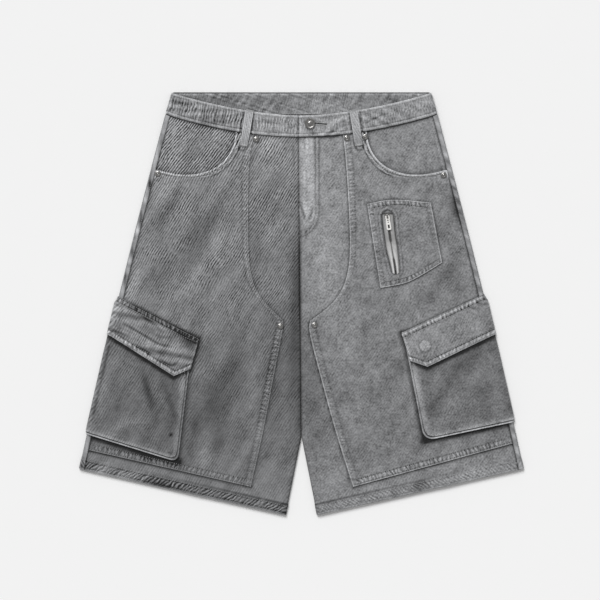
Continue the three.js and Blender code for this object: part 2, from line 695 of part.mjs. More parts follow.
// Flat work on the thigh: an even sheet over a rectangle, moved out from the front's surface
function thighSheet(box, steps, low, high) {
  const place = (i, j, lift) => {
    const x = mix(box.x[0], box.x[1], i / steps[0]);
    const y = mix(box.y[1], box.y[0], j / steps[1]);
    return [x, y, frontHeight(x, y) + lift];
  };
  return toSolid(wall(steps[1], steps[0], place, high, low));
}

const slotBlock = block(zipSlot);
const patch = thighSheet(patchBox, patchGrid, level.patch[0] + patchGap, level.patch[1] + patchGap);
add('zip_pocket', fromSolid(patch.intersect(block(patchCorners)).subtract(slotBlock)), finishes.denimLight);

// Zip tape seen in the slot, a hair inside its edge
const middleOf = (points, axis) => points.reduce((sum, point) => sum + point[axis], 0) / points.length;
const slotCentre = [middleOf(zipSlot, 0), middleOf(zipSlot, 1)];
const inSlot = zipSlot.map(([x, y]) => {
  const away = new THREE.Vector2(x - slotCentre[0], (y - slotCentre[1]) * slotEase.narrow);
  const step = away.normalize().multiplyScalar(slotEase.step);
  return [x - step.x, y - step.y * slotEase.upright];
});
const tape = thighSheet(patchBox, patchGrid, level.tape[0] + patchGap, level.tape[1] + patchGap);
add('zip_tape', fromSolid(tape.intersect(block(inSlot))), finishes.tape);

// Slider on the tape and the pull tab on its bail
const zipRun = new THREE.Vector2(...zipBottom).sub(new THREE.Vector2(...zipTop)).normalize();
const zipTurn = Math.atan2(zipRun.x, -zipRun.y);
const zipBase = frontHeight(...zipTop) + level.tape[1] + patchGap + seamGap + 0.1;

function outlineSolid(points, low, high) {
  const shape = new THREE.Shape(points.map(([x, y]) => new THREE.Vector2(x, y)));
  const geometry = new THREE.ExtrudeGeometry(shape, { depth: high - low, bevelEnabled: false, curveSegments: 8 });
  return toSolid(geometry.translate(0, 0, low));
}

function placeOnZip(solid) {
  return fromSolid(solid).rotateZ(zipTurn).translate(zipTop[0], zipTop[1], zipBase);
}

const upright = (points, half) => {
  const side = fromSolid(outlineSolid(points, -half, half)).rotateX(Math.PI / 2).rotateZ(Math.PI / 2);
  return toSolid(side.translate(0, 0, sliderForm.bailLift));
};
const slider = outlineSolid(sliderForm.body, 0, sliderForm.thickness)
  .add(upright(sliderForm.bail, sliderForm.bailHalf))
  .subtract(upright(sliderForm.bailHole, 2 * sliderForm.bailHalf));
add('zip_slider', placeOnZip(slider), finishes.silver);

// Pull tab: its cross bar passes through the bail and it lies along the zip towards the bottom
let pull = outlineSolid(pullForm.plate, pullForm.from, pullForm.to);
for (const window of [pullForm.bailWindow, pullForm.endWindow]) {
  pull = pull.subtract(outlineSolid(window, 0, 2 * pullForm.to));
}
for (const { y, radius } of pullForm.holes) {
  const round = new THREE.Path().absarc(0, y, radius, 0, 2 * Math.PI, false).getPoints(8);
  const ring = round.slice(0, -1).map((point) => [point.x, point.y]);
  pull = pull.subtract(outlineSolid(ring, 0, 2 * pullForm.to));
}
add('zip_pull', placeOnZip(pull), finishes.silver);

// Rivets with a domed cap and a small burr
rivets.forEach((rivet, number) => {
  const rise = rivet.y > rivetsByBandY ? bandLift : 0;
  const base = frontHeight(rivet.x, rivet.y) + level.overlay[1] + rise + seamGap;
  const profile = rivetHead.map(([share, height]) => [rivetRadius * share, base + height]);
  add(`rivet_${number + 1}`, turned(profile, 10, rivet.x, rivet.y), finishes.nickel);
});

export default shorts;
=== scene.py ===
"""Cargo shorts in washed grey denim, laid flat, dressed around the fixed CAD frame.

Cloth is worked out in millimetres on the garment's own measures and written to meshes in metres.
The wearer's right leg lies on -X, the waist is towards +Y, and the garment rests on z = 0.
"""
from __future__ import annotations

import logging
import math
from dataclasses import dataclass, field
from enum import Enum
from typing import Callable, Sequence

import bpy
import numpy as np
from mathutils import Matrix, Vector


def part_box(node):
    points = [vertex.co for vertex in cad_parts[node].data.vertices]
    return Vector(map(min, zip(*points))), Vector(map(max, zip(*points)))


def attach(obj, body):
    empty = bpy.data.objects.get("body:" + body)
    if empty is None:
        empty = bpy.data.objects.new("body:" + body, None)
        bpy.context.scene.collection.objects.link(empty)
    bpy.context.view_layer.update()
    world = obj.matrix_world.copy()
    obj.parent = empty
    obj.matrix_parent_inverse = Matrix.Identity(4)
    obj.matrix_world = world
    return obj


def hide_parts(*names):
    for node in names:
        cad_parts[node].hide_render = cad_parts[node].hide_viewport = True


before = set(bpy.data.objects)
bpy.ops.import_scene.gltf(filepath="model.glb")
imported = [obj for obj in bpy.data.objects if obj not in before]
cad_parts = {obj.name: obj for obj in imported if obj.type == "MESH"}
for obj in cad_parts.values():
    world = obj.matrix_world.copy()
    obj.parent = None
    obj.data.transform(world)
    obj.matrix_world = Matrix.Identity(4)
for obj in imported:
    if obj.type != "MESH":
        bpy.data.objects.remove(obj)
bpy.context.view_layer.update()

LOG = logging.getLogger("shorts")
MM = 0.001
GARMENT = "garment"
DOWNWARDS = (0.0, 0.0, -1.0)

Array = np.ndarray
Points = Sequence[Sequence[float]]


class Side(Enum):
    """The wearer's two sides, with the sign of X on each."""

    RIGHT = -1
    LEFT = 1

    @property
    def label(self) -> str:
        """The side's name as it ends a node's name."""
        return self.name.lower()


class Facing(Enum):
    """Which way the middle of a cloth piece faces."""

    UP = 1
    DOWN = -1


def smooth(t: Array | float) -> Array:
    """A soft step from 0 to 1."""
    t = np.clip(t, 0.0, 1.0)
    return t * t * (3 - 2 * t)


def mix(a: Array | float, b: Array | float, t: Array | float) -> Array:
    """Linear blend from a to b."""
    return a + (b - a) * t


def peak(distance: Array, middle: float, width: float, power: int = 2) -> Array:
    """A soft line's strength: 1 at its middle, fading over its width."""
    return np.exp(-(np.abs((distance - middle) / width) ** power))


def strokes(distance: Array, *lines: tuple[float, float, float]) -> Array:
    """Sums soft lines, each given by its strength, its middle and its width."""
    return sum(strength * peak(distance, middle, width) for strength, middle, width in lines)


def ripple(s: Array, wave: float, seed: int) -> Array:
    """An uneven wave for puckers.

    Args:
        s: Place along the seam, in millimetres.
        wave: Mean length of a pucker, in millimetres.
        seed: Picks the phases.

    Returns:
        The wave's height, about -1 to 1.
    """
    turn = np.random.default_rng(seed).uniform(0, 2 * math.pi, 5)
    beat = 2 * math.pi / wave
    wave_sum = 0.5 * np.sin(beat * s + turn[0]) + 0.34 * np.sin(beat * s / 1.43 + turn[1])
    wave_sum += 0.26 * np.sin(beat * s * 1.31 + turn[2])
    swell = 0.65 + 0.35 * np.sin(s / 21 + turn[3]) * np.sin(s / 57 + turn[4])
    return wave_sum * swell


def lengths(points: Array) -> Array:
    """Distance along a polyline at each of its points."""
    steps = np.linalg.norm(np.diff(points, axis=0), axis=1)
    return np.concatenate([[0.0], np.cumsum(steps)])


def along(points: Array, share: Array) -> Array:
    """Places on a polyline at shares of its length.

    Args:
        points: The polyline, one row a point.
        share: Shares from 0 to 1, of any shape.

    Returns:
        The places, with the shape of share and one axis more.
    """
    run = lengths(points)
    at = np.asarray(share) * run[-1]
    return np.stack([np.interp(at, run, points[:, k]) for k in range(points.shape[1])], axis=-1)


def soft_line(points: Points, rounds: int = 3) -> Array:
    """Rounds a polyline's corners by cutting them, keeping both ends."""
    line = np.array(points, dtype=float)
    for _ in range(rounds):
        near = mix(line[:-1], line[1:], 0.25)
        far = mix(line[:-1], line[1:], 0.75)
        cut = np.stack([near, far], axis=1).reshape(-1, line.shape[1])
        line = np.vstack([line[:1], cut, line[-1:]])
    return line


def bezier(a: Points, steps: int = 40) -> Array:
    """A cubic curve through four control points, as a polyline."""
    t = np.linspace(0, 1, steps)[:, None]
    p0, p1, p2, p3 = (np.array(p, dtype=float) for p in a)
    return (1 - t) ** 3 * p0 + 3 * (1 - t) ** 2 * t * p1 + 3 * (1 - t) * t**2 * p2 + t**3 * p3


def distance_to(points: Array, line: Array) -> Array:
    """Distance in plan from each point to a polyline.

    Args:
        points: Places, with x and y on the last axis.
        line: The polyline.

    Returns:
        The distances, with the shape of points less its last axis.
    """
    flat = points.reshape(-1, 2)
    best = np.full(len(flat), 1e9)
    for a, b in zip(line[:-1], line[1:]):
        run = b - a
        size = float(run @ run)
        if size == 0:
            continue
        share = np.clip((flat - a) @ run / size, 0, 1)
        best = np.minimum(best, np.linalg.norm(flat - a - share[:, None] * run, axis=1))
    return best.reshape(points.shape[:-1])


@dataclass(frozen=True)
class Fold:
    """A soft ridge or trough in the laid cloth, in millimetres and degrees."""

    x: float
    y: float
    turn: float
    length: float
    width: float
    height: float

    def at(self, x: Array, y: Array) -> Array:
        """Height that this fold adds at a place."""
        run = math.radians(self.turn)
        down = (x - self.x) * math.cos(run) + (y - self.y) * math.sin(run)
        beside = (y - self.y) * math.cos(run) - (x - self.x) * math.sin(run)
        return self.height * np.exp(-((down / self.length) ** 2) - (beside / self.width) ** 2)


def folds(*rows: Sequence[float]) -> tuple[Fold, ...]:
    """Folds from rows of x, y, turn, length, width and height."""
    return tuple(Fold(*row) for row in rows)


FOLDS = folds(
    (-60, 190, 62, 60, 15, 0.5), (-150, 120, 70, 75, 20, 0.8), (-110, 40, 58, 70, 20, -0.7),
    (-28, 60, 84, 80, 13, 0.8), (-52, -90, 78, 90, 14, 0.9), (-95, -170, 82, 70, 16, -0.6),
    (-150, -262, 76, 40, 20, 0.7), (-210, 60, 66, 55, 17, 0.6), (45, 60, 96, 75, 13, 0.6),
    (70, -20, 120, 60, 18, 0.7), (120, -150, 100, 90, 20, 0.8), (62, -200, 104, 70, 15, 0.7),
    (150, 190, 105, 45, 18, 0.5), (225, 90, 112, 60, 16, 0.7), (215, -262, 102, 35, 20, 0.7),
    (110, 0, 108, 40, 20, -0.6),
)

CREASES = folds(
    (5, 236, 92, 13, 2.6, -0.5), (19, 234, 88, 16, 2.8, -0.6), (29, 232, 86, 18, 2.6, -0.5),
    (12, 180, 90, 46, 6.0, 0.5), (-44, 238, 80, 12, 3.2, -0.4), (-58, 222, 66, 20, 4.0, 0.35),
    (-104, 226, 72, 20, 4.0, -0.4), (-20, 140, 76, 40, 5.0, 0.35), (-38, 30, 80, 50, 6.0, -0.4),
    (-14, -60, 86, 60, 6.0, 0.45), (-44, -130, 80, 55, 7.0, 0.5), (-30, -230, 84, 40, 6.0, -0.4),
    (-130, -150, 78, 60, 8.0, 0.4), (-170, 60, 62, 46, 7.0, 0.4), (-190, 130, 66, 40, 6.0, -0.35),
    (-120, -20, 50, 36, 7.0, 0.4), (24, -110, 99, 50, 6.0, -0.35), (40, -240, 100, 40, 6.0, 0.4),
    (96, -60, 112, 46, 7.0, 0.35), (150, -250, 96, 26, 6.0, 0.4), (205, 110, 108, 36, 6.0, -0.3),
    (240, 30, 108, 24, 6.0, 0.35), (36, 20, 100, 40, 5.0, 0.3), (118, 225, 60, 14, 4.0, 0.3),
)

# Soft patches that darken the cloth in plan, or lighten it where negative: partly the wash's uneven tone and spots,
# partly painted shade in folds and hollows and painted light on raised puffs; the first lightens the cloth towards the
# waist.
WASH_AND_SHADE_PATCHES = folds(
    (0, 290, 0, 900, 120, -0.13), (-110, -160, 10, 170, 90, 0.15), (120, -190, 10, 170, 70, 0.04),
    (300, -60, 105, 260, 60, 0.1), (14, -130, 94, 110, 20, 0.22), (216, 42, 44, 42, 9, 0.26),
    (236, 140, 104, 16, 9, 0.24), (150, 240, 20, 70, 40, 0.1), (110, -200, 10, 90, 60, 0.08),
    (-197, 178, 60, 30, 13, -0.2), (-199, 142, 60, 44, 9, 0.24), (-226, 98, 64, 28, 8, -0.18),
    (-155, 103, 60, 40, 17, 0.16), (-128, 76, 62, 44, 10, -0.16), (-130, 132, 60, 44, 9, 0.12),
    (-216, 38, 58, 26, 14, 0.16), (-166, 31, 60, 26, 10, -0.12), (-250, 30, 72, 34, 7, -0.16),
    (-166, 221, 50, 30, 10, 0.16), (-186, 256, 40, 16, 10, -0.1), (-52, 228, 80, 30, 18, -0.16),
    (-10, 10, 88, 120, 9, 0.22), (-66, 76, 84, 50, 9, 0.12), (-40, -60, 84, 60, 16, 0.14),
    (-100, -80, 74, 60, 18, 0.16), (-130, -150, 74, 40, 16, 0.14), (-75, -150, 80, 40, 10, -0.1),
    (-160, -186, 84, 18, 8, 0.18), (-146, -228, 70, 14, 9, -0.16), (-124, -209, 76, 20, 8, 0.16),
    (-230, -130, 105, 30, 6, 0.26), (-180, -114, 96, 26, 6, -0.14), (-300, -128, 80, 24, 8, -0.12),
    (-262, -180, 20, 30, 7, -0.14), (-196, -150, 108, 40, 5, 0.14), (20, 160, 90, 66, 8, -0.2),
    (46, 190, 90, 60, 16, -0.16), (32, 60, 96, 50, 16, -0.2), (60, 20, 120, 30, 12, -0.12),
    (232, 148, 104, 26, 10, 0.34), (210, 118, 60, 20, 9, 0.18), (240, 80, 108, 30, 8, -0.12),
    (110, 200, 80, 30, 14, -0.12), (150, 180, 20, 30, 9, 0.1), (100, 5, 150, 30, 12, 0.14),
    (186, 8, 30, 30, 10, 0.14), (236, 20, 110, 20, 8, 0.12), (60, -40, 112, 40, 14, -0.06),
    (96, -60, 80, 40, 14, 0.1), (124, -110, 70, 36, 14, 0.12), (80, -170, 60, 30, 12, -0.1),
    (146, -190, 40, 30, 14, -0.08), (150, -95, 90, 14, 8, 0.24), (236, -98, 55, 24, 11, 0.24),
    (203, -150, 62, 28, 9, 0.16), (226, -160, 55, 30, 9, -0.14), (265, -104, 60, 20, 9, -0.1),
    (272, -140, 120, 22, 9, 0.14), (170, -116, 104, 30, 5, -0.18), (300, -170, 100, 20, 8, -0.1),
    (-306, -256, 30, 24, 9, -0.4), (-262, -258, 10, 22, 8, -0.3), (-208, -272, -14, 20, 7, 0.26),
    (176, -272, 40, 14, 8, 0.4), (120, -284, 10, 24, 7, -0.1), (262, -252, 14, 34, 8, -0.2),
    (232, -250, 80, 6, 5, 0.3), (-169, -57, 150, 15, 9, 0.34), (-283, -14, 60, 22, 10, -0.26),
    (-188, -66, 40, 14, 7, -0.24), (-236, -56, 155, 26, 5, -0.2), (-229.5, -76.5, 60, 2.6, 2.0, 0.75),
    (-195.5, -196.5, 60, 2.4, 2.0, 0.75), (185, -63, 0, 6, 6, -0.22), (-6, 262, 20, 30, 8, -0.06),
    (-140, 268, 15, 50, 6, 0.12), (150, 262, 160, 40, 6, 0.1), (-250, 210, 76, 40, 5, -0.1),
)


@dataclass(frozen=True)
class CreaseLine:
    """A pressed crease along a curve, in millimetres, with painted shade in its trough and painted light on its banks.
    """

    points: Points
    width: float = 2.0
    depth: float = 0.8
    dark: float = 0.4
    ridge: float = 0.6

    def at(self, places: Array) -> tuple[Array, Array]:
        """Relief and shade that the crease adds at places in plan, fading to both its ends."""
        line = soft_line(self.points)
        distance = distance_to(places, line)
        ends = np.minimum(np.linalg.norm(places - line[0], axis=-1), np.linalg.norm(places - line[-1], axis=-1))
        strength = 0.25 + 0.75 * smooth(ends / 12)
        trough = peak(distance, 0, self.width)
        bank = peak(distance, 2 * self.width, self.width)
        return self.depth * (self.ridge * bank - trough) * strength, self.dark * (trough - 0.45 * bank) * strength


# Creases with painted shade in their troughs and painted light on their banks; the waistband's lines beside the belt
# loops and along the lapped end, and the overlays' lines round the loops' feet, are painted shadows with little or no
# depth.
CREASE_AND_SHADOW_LINES = {piece: tuple(CreaseLine(*row) for row in rows) for piece, rows in {
    "cargo_flap_right": (
        (((-265, -31), (-240, -45), (-213, -62), (-194, -66)), 1.7, 1.0, 0.6),
        (((-290, -35), (-275, -43), (-258, -50)), 1.7, 0.9, 0.55),
        (((-242, -18), (-224, -28), (-208, -43)), 2.0, 0.8, 0.4),
        (((-213, -83), (-200, -92), (-190, -93), (-181, -82)), 1.8, 0.8, 0.5),
        (((-250, -60), (-232, -72), (-214, -81)), 1.5, 0.5, 0.3),
        (((-222, -46), (-205, -52), (-186, -50)), 1.8, 0.6, 0.3),
        (((-176, -72), (-182, -80), (-192, -82)), 1.6, 0.6, 0.3),
    ),
    "cargo_flap_left": (
        (((167, -62), (172, -72), (178, -80)), 1.6, 0.6, 0.35),
        (((174, -58), (180, -74), (188, -82)), 1.5, 0.5, 0.28),
        (((246, 0), (254, -7), (266, -9)), 2.0, 0.8, 0.45), (((258, 5), (268, -2), (280, -2)), 1.8, 0.8, 0.45),
        (((200, -30), (216, -26), (230, -14)), 1.8, 0.4, 0.2),
        (((236, -58), (240, -48), (243, -40)), 1.8, 0.5, 0.25),
    ),
    "front_panel_left": (
        (((5, 246), (5.6, 232), (5.2, 222)), 1.6, 0.6, 0.5),
        (((19, 247), (20, 232), (19.4, 222)), 1.6, 0.6, 0.5),
        (((12, 246), (12.6, 238), (12, 230)), 1.3, 0.4, 0.3),
        (((-1.5, 150), (2, 138), (6, 124)), 2.2, 0.8, 0.85), (((17, 146), (15, 132), (8, 121)), 1.8, 0.7, 0.8),
        (((9, 200), (9.6, 170), (9, 140)), 2.4, 0.35, 0.16), (((6, 116), (8, 104), (7, 92)), 1.7, 0.6, 0.35),
    ),
    "front_panel_right": (
        (((-60, 244), (-72, 224), (-76, 200)), 2.2, 0.5, 0.3),
        (((-12, 240), (-11, 215), (-10, 190)), 2.0, 0.4, 0.25),
    ),
    "waistband": (
        (((-70, 292), (-72.5, 270), (-78, 246)), 1.9, 0.4, 0.9, 0.3),
        (((-86, 294), (-89, 270), (-94, 246)), 1.9, 0.4, 0.9, 0.3),
        (((70.5, 292), (73.5, 270), (78, 246)), 1.9, 0.4, 0.9, 0.3),
        (((86.5, 294), (89.5, 270), (93.5, 246)), 1.9, 0.4, 0.9, 0.3),
        (((-4.6, 282), (-4.6, 266), (-4.6, 250)), 1.5, 0.0, 0.85, 0.0),
        (((20, 269), (27, 269.5), (36, 268)), 2.2, 0.2, 0.35, 0.9),
        (((-68, 275), (-50, 270.5), (-24.6, 268)), 1.5, 0.6, 0.45),
        (((37, 250), (52, 262), (75, 273)), 2.3, 0.9, 0.75, 1.0),
        (((44, 262), (60, 272), (76, 278)), 2.2, 0.7, 0.75, 1.0),
        (((24, 279), (40, 275), (58, 280)), 1.6, 0.6, 0.35),
        (((97, 272), (115, 279), (132, 287)), 2.0, 0.6, 0.6, 1.0),
        (((150, 284), (156, 291), (158, 299)), 1.8, 0.4, 0.35, 1.0),
        (((-193, 304), (-180, 300), (-160, 297)), 2.0, 0.6, 0.8),
        (((-190, 300), (-160, 290), (-120, 281)), 1.7, 0.6, 0.4),
        (((-150, 280), (-128, 275), (-100, 268)), 1.6, 0.5, 0.3),
    ),
    "double_knee_right": (
        (((-79, 250), (-80, 233), (-88, 227), (-96, 233), (-95, 250)), 1.7, 0.2, 0.7, 0.2),
    ),
    "double_knee_left": (
        (((78, 250), (79.5, 234), (87, 228), (94.5, 234), (94, 250)), 1.7, 0.2, 0.7, 0.2),
        (((150, 165), (152, 160), (170, 159)), 1.6, 0.3, 0.1),
    ),
}.items()}


@dataclass(frozen=True)
class LaidGarment:
    """The garment's measures when laid flat, and the surfaces worked out from them, in millimetres."""

    waist_half: float = 195
    waist_top: float = 316.5
    front_dip: float = 35
    dip_power: float = 1.7
    seam_side: float = 283
    seam_centre: float = 249
    seam_back: float = 283.2
    seam_power: float = 1.9
    hem_half: float = 333
    hem_outer: float = -247.5
    hem_inner: float = -317
    hip_bulge: float = 4
    middle_at_waist: float = -4
    legs_part: float = -200
    leg_spread: float = 0.2
    crotch: float = -17
    fold_radius: float = 2.5
    band_lift: float = 1.6
    band_radius: float = 3.25
    gap: float = 0.3
    outseam_inset: float = 7.5
    slope: tuple[float, float] = (0.9705, 0.2411)

    def half_width(self, y: Array | float) -> Array:
        """Half width of the laid garment at a height."""
        t = (self.waist_top - y) / (self.waist_top - self.hem_outer)
        return mix(self.waist_half, self.hem_half, t) + 4 * self.hip_bulge * t * (1 - t)

    def inner_edge(self, sign: int, y: Array | float) -> Array:
        """Where the two fronts meet, or a leg's inner edge, at a height."""
        share = (self.seam_centre - y) / (self.seam_centre - self.legs_part)
        middle = mix(self.middle_at_waist, 0, np.clip(share, 0, 1))
        return middle + sign * (self.gap / 2 + np.maximum(0, self.legs_part - y) * self.leg_spread)

    def seam_y(self, x: Array | float) -> Array:
        """Height of the front waist seam at x."""
        middle = self.middle_at_waist
        reach = np.where(x > middle, self.half_width(self.seam_side) - middle, self.half_width(self.seam_side) + middle)
        share = np.abs(x - middle) / reach
        return self.seam_centre + (self.seam_side - self.seam_centre) * share**self.seam_power

    def band_top_y(self, x: Array | float) -> Array:
        """Height of the front waistband's top edge at x."""
        share = np.abs(x) / self.waist_half
        return self.waist_top - self.front_dip + (self.front_dip - 1) * share**self.dip_power

    def rise(self, q: Array) -> Array:
        """How far the cloth is lifted near the waistband, by the share of the leg's length."""
        return self.band_lift * (1 - smooth((q - 0.03) / 0.07))

    def front_height(self, x: Array, y: Array) -> Array:
        """Top of the front panels in plan, with the folds and the rise near the waistband."""
        from_side = self.half_width(y) - np.abs(x)
        from_middle = np.abs(x - self.inner_edge(np.where(x > 0, 1, -1), y))
        inside = smooth((from_side - 6) / 18) * smooth((from_middle - 2) / 12)
        inside = inside * smooth((self.waist_top - 4 - y) / 60)
        folds = sum(fold.at(x, y) for fold in FOLDS) + 1.25 * sum(crease.at(x, y) for crease in CREASES)
        below_seam = np.maximum(0, self.seam_y(x) - y) / 550
        return 2 * self.fold_radius + folds * inside + self.rise(below_seam)

    def outseam(self, sign: int, y: Array, inset: float) -> Array:
        """A line set in from the side fold by a distance across the cloth."""
        x = sign * (self.half_width(y) - inset * self.slope[0])
        return np.stack([x, y - inset * self.slope[1]], axis=-1)

    def over_front(self, plan: Array | Points, lift: Array | float = 0.0) -> Array:
        """Places in space at a height above the front, from places in plan."""
        plan = np.asarray(plan, dtype=float)
        height = self.front_height(plan[..., 0], plan[..., 1]) + lift
        return np.concatenate([plan, np.asarray(height)[..., None]], axis=-1)

    def side_line(self, sign: int, y: Array) -> Array:
        """The outseam's edge on the front at heights."""
        return self.outseam(sign, y, self.outseam_inset + self.gap)

    def drape(self, sign: int, plan: Array, lift: Array) -> Array:
        """Lays unrolled cloth over the front and round the side fold.

        Args:
            sign: The side's sign.
            plan: Unrolled places, which run on past the side fold.
            lift: Height above the front's surface.

        Returns:
            The places in space.
        """
        x, y = np.abs(plan[..., 0]), plan[..., 1]
        level = y.copy()
        for _ in range(3):
            inset = (self.half_width(level) - x) * self.slope[0]
            level = y + inset * self.slope[1]
        turn = np.clip((self.fold_radius - inset) / self.fold_radius, 0, 2.4)
        reach = self.fold_radius - (self.fold_radius + lift) * np.sin(turn)
        round_x = self.half_width(level) - reach * self.slope[0]
        round_y = level - reach * self.slope[1]
        round_z = self.fold_radius + (self.fold_radius + lift) * np.cos(turn)
        flat = inset >= self.fold_radius
        z = np.where(flat, self.front_height(sign * x, y) + lift, round_z)
        return np.stack([sign * np.where(flat, x, round_x), np.where(flat, y, round_y), z], axis=-1)

    def side_share(self, plan: Array) -> Array:
        """0 at the side fold to 1 a few millimetres in from it, for unrolled places."""
        inset = (self.half_width(plan[..., 1]) - np.abs(plan[..., 0])) * self.slope[0]
        return smooth(inset / 6)


@dataclass(frozen=True)
class Spacing:
    """How grid lines lie across a piece: close at both ends, even between."""

    start: tuple[float, ...] = (0, 0.3, 0.7, 1.3, 1.9, 2.5, 3.3, 4.3, 5.5, 6.7, 7.5, 8.3, 9.3, 10.8)
    end: tuple[float, ...] = (0, 0.3, 0.7, 1.3, 1.9, 2.5, 3.3, 4.3, 5.5, 6.7, 7.5, 8.3, 9.3, 10.8)
    step: float = 2.7

    def places(self, size: Array) -> Array:
        """Distances of the lines from the start, one row for each size."""
        mean = float(np.mean(size))
        count = max(2, int((mean - self.start[-1] - self.end[-1]) / self.step))
        rows = []
        for one in size:
            shrink = min(1.0, 0.42 * one / max(self.start[-1], 1e-6), 0.42 * one / max(self.end[-1], 1e-6))
            first = np.array(self.start) * shrink
            last = one - np.array(self.end)[::-1] * shrink
            middle = np.linspace(first[-1], last[0], count + 1)[1:-1]
            rows.append(np.concatenate([first, middle, last]))
        return np.array(rows)


PLAIN_EDGE = (0, 0.4, 1.0, 2.0, 3.4)
FINE_EDGE = Spacing().start


@dataclass
class Patch:
    """A four-sided stretch of unrolled cloth, given by its edge lines."""

    top: Array
    bottom: Array
    left: Array
    right: Array

    @classmethod
    def between(cls, left: Array, right: Array) -> Patch:
        """A patch whose ends are straight lines between two sides."""
        return cls(np.array([left[0], right[0]]), np.array([left[-1], right[-1]]), left, right)

    def grid(self, across: Spacing, down: Spacing, corner: float | None = None) -> Array:
        """Grid of places between the edges, rows running from the left edge to the right one.

        Args:
            across: Spacing of the columns.
            down: Spacing of the rows.
            corner: Share of the bottom edge at which a column must meet its corner.

        Returns:
            The places in plan, by row and column.
        """
        height = 0.5 * (lengths(self.left)[-1] + lengths(self.right)[-1])
        v = down.places(np.array([height]))[0] / height
        left, right = along(self.left, v), along(self.right, v)
        size = np.linalg.norm(right - left, axis=1)
        u = across.places(size) / size[:, None]
        if corner is not None:
            k = int(np.argmin(np.abs(u[-1] - corner)))
            u = np.array([np.interp(row, [0, row[k], 1], [0, corner, 1]) for row in u])
        v = v[:, None, None]
        upper, lower = along(self.top, u), along(self.bottom, u)
        u = u[..., None]
        sides = (1 - u) * left[:, None] + u * right[:, None]
        ends = (1 - v) * upper + v * lower
        corners = (1 - v) * ((1 - u) * self.top[0] + u * self.top[-1])
        corners = corners + v * ((1 - u) * self.bottom[0] + u * self.bottom[-1])
        return sides + ends - corners


@dataclass
class Reach:
    """Distances of each grid place from the grid's four edges, along its lines."""

    left: Array
    right: Array
    top: Array
    bottom: Array

    @classmethod
    def of(cls, grid: Array) -> "Reach":
        """Measures a grid."""
        rows = np.linalg.norm(np.diff(grid, axis=1), axis=2)
        columns = np.linalg.norm(np.diff(grid, axis=0), axis=2)
        left = np.concatenate([np.zeros((grid.shape[0], 1)), np.cumsum(rows, axis=1)], axis=1)
        top = np.concatenate([np.zeros((1, grid.shape[1])), np.cumsum(columns, axis=0)], axis=0)
        return cls(left, left[:, -1:] - left, top, top[-1:] - top)

    def nearest(self, *names: str) -> Array:
        """Distance to the nearest of the named edges, or of all four."""
        return np.minimum.reduce([getattr(self, name) for name in names or ("left", "right", "top", "bottom")])


def rounded(distance: Array, radius: float) -> Array:
    """How far a rounded edge falls away, as a negative height."""
    near = 1 - np.clip(distance / radius, 0, 1)
    return -radius * (1 - np.sqrt(1 - near**2))


@dataclass(frozen=True)
class SeamRelief:
    """Stitch grooves and puckers beside an edge, in millimetres."""

    rows: tuple[float, ...] = (1.9, 7.5)
    depth: float = 0.38
    groove: float = 0.75
    pucker: float = 0.3
    wave: float = 8.0
    reach: float = 7.0
    seed: int = 1

    @property
    def middle(self) -> float:
        """Distance from the edge to midway between the rows."""
        return 0.5 * (self.rows[0] + self.rows[-1])

    def height(self, distance: Array, run: Array) -> Array:
        """Height beside the edge, from the distance to it and the place along it."""
        grooves = sum(peak(distance, row, self.groove) for row in self.rows)
        puckers = peak(distance, self.middle, self.reach) * ripple(run, self.wave, self.seed)
        return self.pucker * puckers - self.depth * grooves

    def dark(self, distance: Array, run: Array, grooves: float = 0.3, ladder: float = 0.3) -> Array:
        """Painted shade in the grooves, and painted light and shade on the puckers.

        Args:
            distance: Distance to the edge.
            run: Place along the edge.
            grooves: Painted shade in the rows of stitches.
            ladder: Painted shade and light on the puckers.

        Returns:
            The shade to add.
        """
        sewn = np.maximum.reduce([peak(distance, row, self.groove * 0.9) for row in self.rows])
        near = peak(distance, self.middle, 0.6 * self.reach, 4)
        return grooves * sewn - ladder * near * np.clip(1.3 * ripple(run, self.wave, self.seed), -1, 1)


SEAM_MIDDLE = 4.7


def seam_field(*seams: tuple[Array, Array, Array | float]) -> Array:
    """The nearest seam's run, distance and strength at each place, for the finish to read.

    Args:
        seams: For each seam the place along it, the distance from its edge and its strength.

    Returns:
        Three numbers for each place.
    """
    nearest = np.argmin([seam[1] for seam in seams], axis=0)
    full = [[np.broadcast_to(value, nearest.shape) for value in seam] for seam in seams]
    return np.dstack([np.choose(nearest, [seam[k] for seam in full]) for k in range(3)])


class Value:
    """A number or a place that a material's nodes work out, with the usual signs between numbers."""

    def __init__(self, nodes: NodeBuilder, socket: bpy.types.NodeSocket) -> None:
        """Takes the material's nodes and the value's socket."""
        self.nodes, self.socket = nodes, socket

    def __add__(self, other: Value | float) -> Value:
        """The sum."""
        return self.nodes.math("ADD", self, other)

    def __sub__(self, other: Value | float) -> Value:
        """The difference."""
        return self.nodes.math("SUBTRACT", self, other)

    def __mul__(self, other: Value | float) -> Value:
        """The product."""
        return self.nodes.math("MULTIPLY", self, other)

    def above(self, low: float) -> Value:
        """The number, raised to a lowest one."""
        return self.nodes.math("MAXIMUM", self, low)

    def sine(self) -> Value:
        """The sine."""
        return self.nodes.math("SINE", self)

    def bell(self) -> Value:
        """1 where the number is zero, fading on both sides."""
        return self.nodes.math("POWER", math.e, self * self * -1.0)


